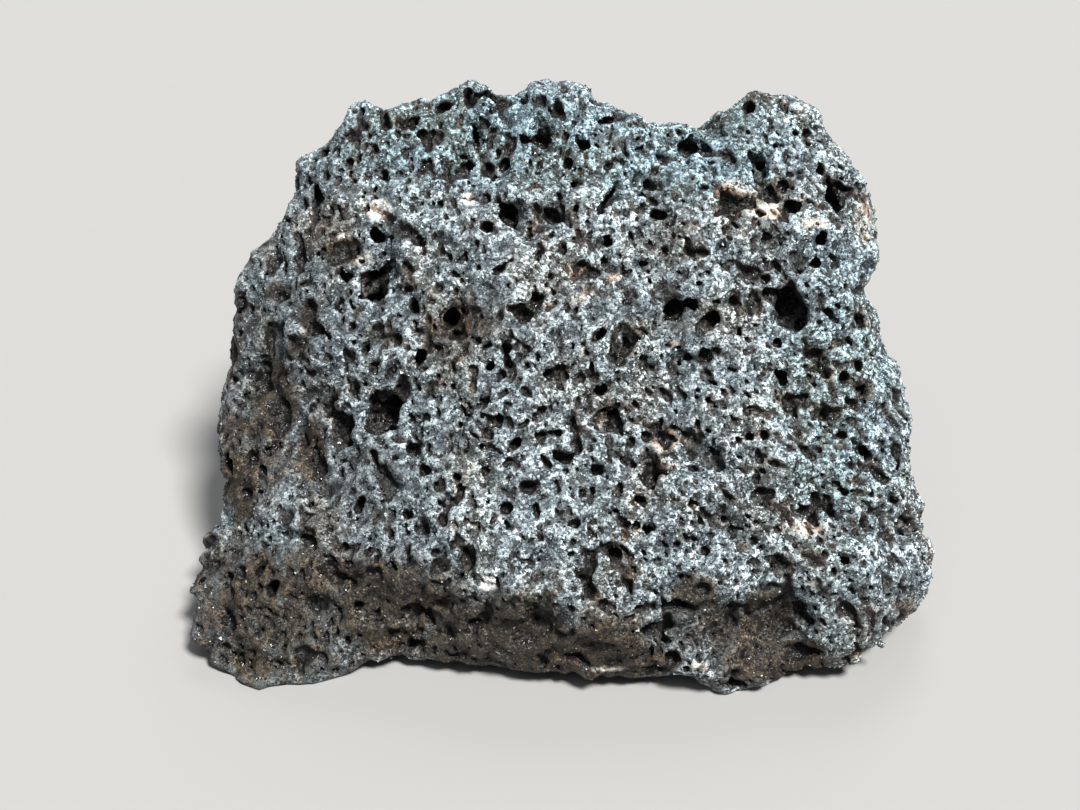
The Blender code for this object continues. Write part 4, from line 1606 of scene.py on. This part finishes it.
@dataclass(frozen=True)
class Basalt:
    """The finish of the stone's surface: dark basalt with pale crystals, rough and glinting, with crests
    painted paler and creases darker.

    Attributes:
        crystals: How many coarse and fine facets there are to the metre.
        shares: How far the coarse and the fine facets' shades count.
        base: The shade that they are added to.
        crest_light_and_shade: How much paler a crest, and how much darker a crease, is painted for its height:
            painted light and shade.
        clouding: How far clouds move the shade.
        roughness: How rough a facet is.
        glint: How much smoother a glinting one is.
        fine_height: How high the fine facets are for the coarse ones.
        bump: The facets' height, in metres.
    """

    crystals: Pair = (3300.0, 8200.0)
    shares: Pair = (0.64, 0.42)
    base: float = -0.105
    crest_light_and_shade: float = 1.5
    clouding: float = 1.0
    roughness: float = 0.55
    glint: float = 0.30
    fine_height: float = 0.5
    bump: float = 0.00026

    def material(self, facets: bpy.types.NodeTree, weathering_and_painted_light: bpy.types.NodeTree) -> bpy.types.Material:
        """The material.

        Args:
            facets: The group that gives the crystals.
            weathering_and_painted_light: The group that gives the colour and its painted light and shade.

        Returns:
            The new material.
        """
        finish = Finish("vesicular_basalt")
        wiring = finish.wiring
        place = finish.object_place()
        coarse, fine = [
            wiring.group(facets, {"Place": place, "Scale": scale}).outputs for scale in self.crystals
        ]
        shade = wiring.math("MULTIPLY_ADD", coarse["Shade"], self.shares[0], self.base)
        shade = wiring.math("MULTIPLY_ADD", fine["Shade"], self.shares[1], shade)
        # Painted light and shade: crests are painted paler and creases darker.
        shade = wiring.math("MULTIPLY_ADD", wiring.attribute("crest_light_and_shade"), self.crest_light_and_shade, shade)
        colour = wiring.group(weathering_and_painted_light, {"Place": place, "Shade": shade, "Clouding": self.clouding})
        height = wiring.math("MULTIPLY_ADD", fine["Height"], self.fine_height, coarse["Height"])
        bump = wiring.add("ShaderNodeBump")
        wiring.fed(bump, {"Strength": 1.0, "Distance": self.bump, "Height": height})
        wiring.fed(finish.shader, {
            "Base Color": colour.outputs["Color"],
            "Roughness": wiring.math("MULTIPLY_ADD", coarse["Glint"], -self.glint, self.roughness),
            "Normal": bump.outputs["Normal"],
        })
        return finish.material


@dataclass(frozen=True)
class CrystalGrain:
    """The finish of the grains that stand out of the surface.

    Attributes:
        mottle: The noise that mottles each grain.
        own: How far a grain's own shade counts.
        base: The shade that it is added to.
        clouding: How far clouds move the shade.
        mottling: How far the mottling moves it.
        roughness: How rough a grain is at least.
        dullness: How much rougher it is where the mottling is high.
    """

    mottle: Noise = Noise(9000.0, 2.0, 0.5)
    own: float = 0.75
    base: float = 0.05
    clouding: float = 0.9
    mottling: float = 0.6
    roughness: float = 0.18
    dullness: float = 0.5

    def material(self, weathering_and_painted_light: bpy.types.NodeTree) -> bpy.types.Material:
        """The material.

        Args:
            weathering_and_painted_light: The group that gives the colour and its painted light and shade.

        Returns:
            The new material.
        """
        finish = Finish("crystal_grain")
        wiring = finish.wiring
        place = finish.object_place()
        mottle = wiring.noise(place, self.mottle)
        shade = wiring.math("MULTIPLY_ADD", wiring.attribute("shade"), self.own, self.base)
        shade = wiring.swing(mottle, self.mottling, shade)
        colour = wiring.group(weathering_and_painted_light, {"Place": place, "Shade": shade, "Clouding": self.clouding})
        wiring.fed(finish.shader, {
            "Base Color": colour.outputs["Color"],
            "Roughness": wiring.math("MULTIPLY_ADD", mottle, self.dullness, self.roughness),
        })
        return finish.material


@dataclass(frozen=True)
class Lamp:
    """A soft light that shines evenly over the whole floor.

    Attributes:
        name: Its name.
        azimuth: Its way round from the front, in degrees towards the right.
        elevation: Its height over the floor, in degrees.
        spread: How wide it looks from the stone, in degrees, which softens its shadows.
        strength: Its power, in watts per square metre.
        colour: Its colour.
    """

    name: str
    azimuth: float
    elevation: float
    spread: float
    strength: float
    colour: tuple[float, float, float]

    def build(self) -> None:
        """Puts the light up a metre from the middle of the floor, and turns it there."""
        azimuth, elevation = math.radians(self.azimuth), math.radians(self.elevation)
        level = math.cos(elevation)
        way = Vector((math.sin(azimuth) * level, -math.cos(azimuth) * level, math.sin(elevation)))
        light = bpy.data.lights.new(self.name, "SUN")
        light.angle = math.radians(self.spread)
        light.energy = self.strength
        light.color = self.colour
        lamp = bpy.data.objects.new(self.name, light)
        lamp.location = way
        lamp.rotation_euler = way.to_track_quat("Z", "Y").to_euler()
        bpy.context.scene.collection.objects.link(lamp)


@dataclass(frozen=True)
class Studio:
    """The plain pale floor, the soft lights and the camera.

    Attributes:
        sighting: Where the camera stands.
        floor_size: The floor's width.
        floor_colour: Its colour.
        floor_roughness: Its roughness.
        air: The colour of the light that comes from all round.
        air_strength: That light's strength.
        lamps: The lights.
        sensor: The width of the camera's sensor.
        clip: The nearest and the farthest that the camera sees, in metres.
    """

    sighting: Sighting
    floor_size: float = 6000.0
    floor_colour: Colour = (0.228, 0.225, 0.218, 1.0)
    floor_roughness: float = 0.9
    air: Colour = (0.86, 0.90, 0.95, 1.0)
    air_strength: float = 0.17
    lamps: tuple[Lamp, ...] = (
        Lamp("key", 40.0, 61.0, 13.0, 9.1, (1.0, 0.99, 0.97)),
        Lamp("fill", -35.0, 60.0, 34.0, 0.45, (0.90, 0.95, 1.0)),
        Lamp("rim", 170.0, 50.0, 24.0, 1.3, (0.95, 0.98, 1.0)),
    )
    sensor: float = 36.0
    clip: Pair = (0.01, 20.0)

    def build(self) -> None:
        """Sets up the floor, the lights, the air and the camera."""
        self.lay_floor()
        for lamp in self.lamps:
            lamp.build()
        world = bpy.data.worlds.new("air")
        world.use_nodes = True
        world.node_tree.nodes["Background"].inputs["Color"].default_value = self.air
        world.node_tree.nodes["Background"].inputs["Strength"].default_value = self.air_strength
        bpy.context.scene.world = world
        bpy.context.scene.view_settings.view_transform = "Standard"
        self.set_camera()

    def lay_floor(self) -> None:
        """Lays the floor and paints it."""
        shape = bmesh.new()
        bmesh.ops.create_grid(shape, x_segments=1, y_segments=1, size=self.floor_size * MM / 2.0)
        mesh = bpy.data.meshes.new("floor")
        shape.to_mesh(mesh)
        shape.free()
        floor = bpy.data.objects.new("floor", mesh)
        bpy.context.scene.collection.objects.link(floor)
        paint = Finish("pale_floor")
        paint.wiring.fed(paint.shader, {"Base Color": self.floor_colour, "Roughness": self.floor_roughness})
        mesh.materials.append(paint.material)

    def set_camera(self) -> None:
        """Puts the camera where the stone is looked at from."""
        camera = bpy.data.cameras.new("camera")
        camera.sensor_width = self.sensor
        camera.lens = self.sensor * self.sighting.distance / self.sighting.width
        camera.clip_start, camera.clip_end = self.clip
        holder = bpy.data.objects.new("camera", camera)
        holder.location = self.sighting.eye * MM
        holder.rotation_euler = self.sighting.ahead.to_track_quat("-Z", "Y").to_euler()
        bpy.context.scene.collection.objects.link(holder)
        bpy.context.scene.camera = holder


# The grains: wedges, small wedges and flat laths.
GRAINS = (
    Grains("crystal_wedges", CrystalForm.WEDGE, (0.22, 0.60), front=2.0, seed=31),
    Grains("crystal_wedges_fine", CrystalForm.WEDGE, (0.16, 0.36), front=3.0, seed=37),
    Grains("crystal_laths", CrystalForm.LATH, (0.20, 0.48), front=2.0, seed=41),
)


def main() -> None:
    """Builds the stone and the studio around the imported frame."""
    logging.basicConfig(level=logging.INFO, format="%(relativeCreated)d ms %(message)s")
    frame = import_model()
    sighting = Sighting()
    Studio(sighting).build()
    weathering_and_painted_light = WeatheringAndPaintedLight().group()
    stone = Stone(sighting)
    surface = stone.build(frame["nodes"][NODE])
    stone.dress(surface, Basalt().material(Facets().group(), weathering_and_painted_light))
    pieces = [surface]
    skin = Skin(surface)
    glassy = CrystalGrain().material(weathering_and_painted_light)
    for grains in GRAINS:
        piece = grains.build(skin, sighting)
        grains.dress(piece, glassy)
        pieces.append(piece)
    for piece in pieces:
        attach(piece, "root")
        LOG.info("%s: %d triangles", piece.name, len(piece.data.polygons))


if __name__ == "__main__":
    main()
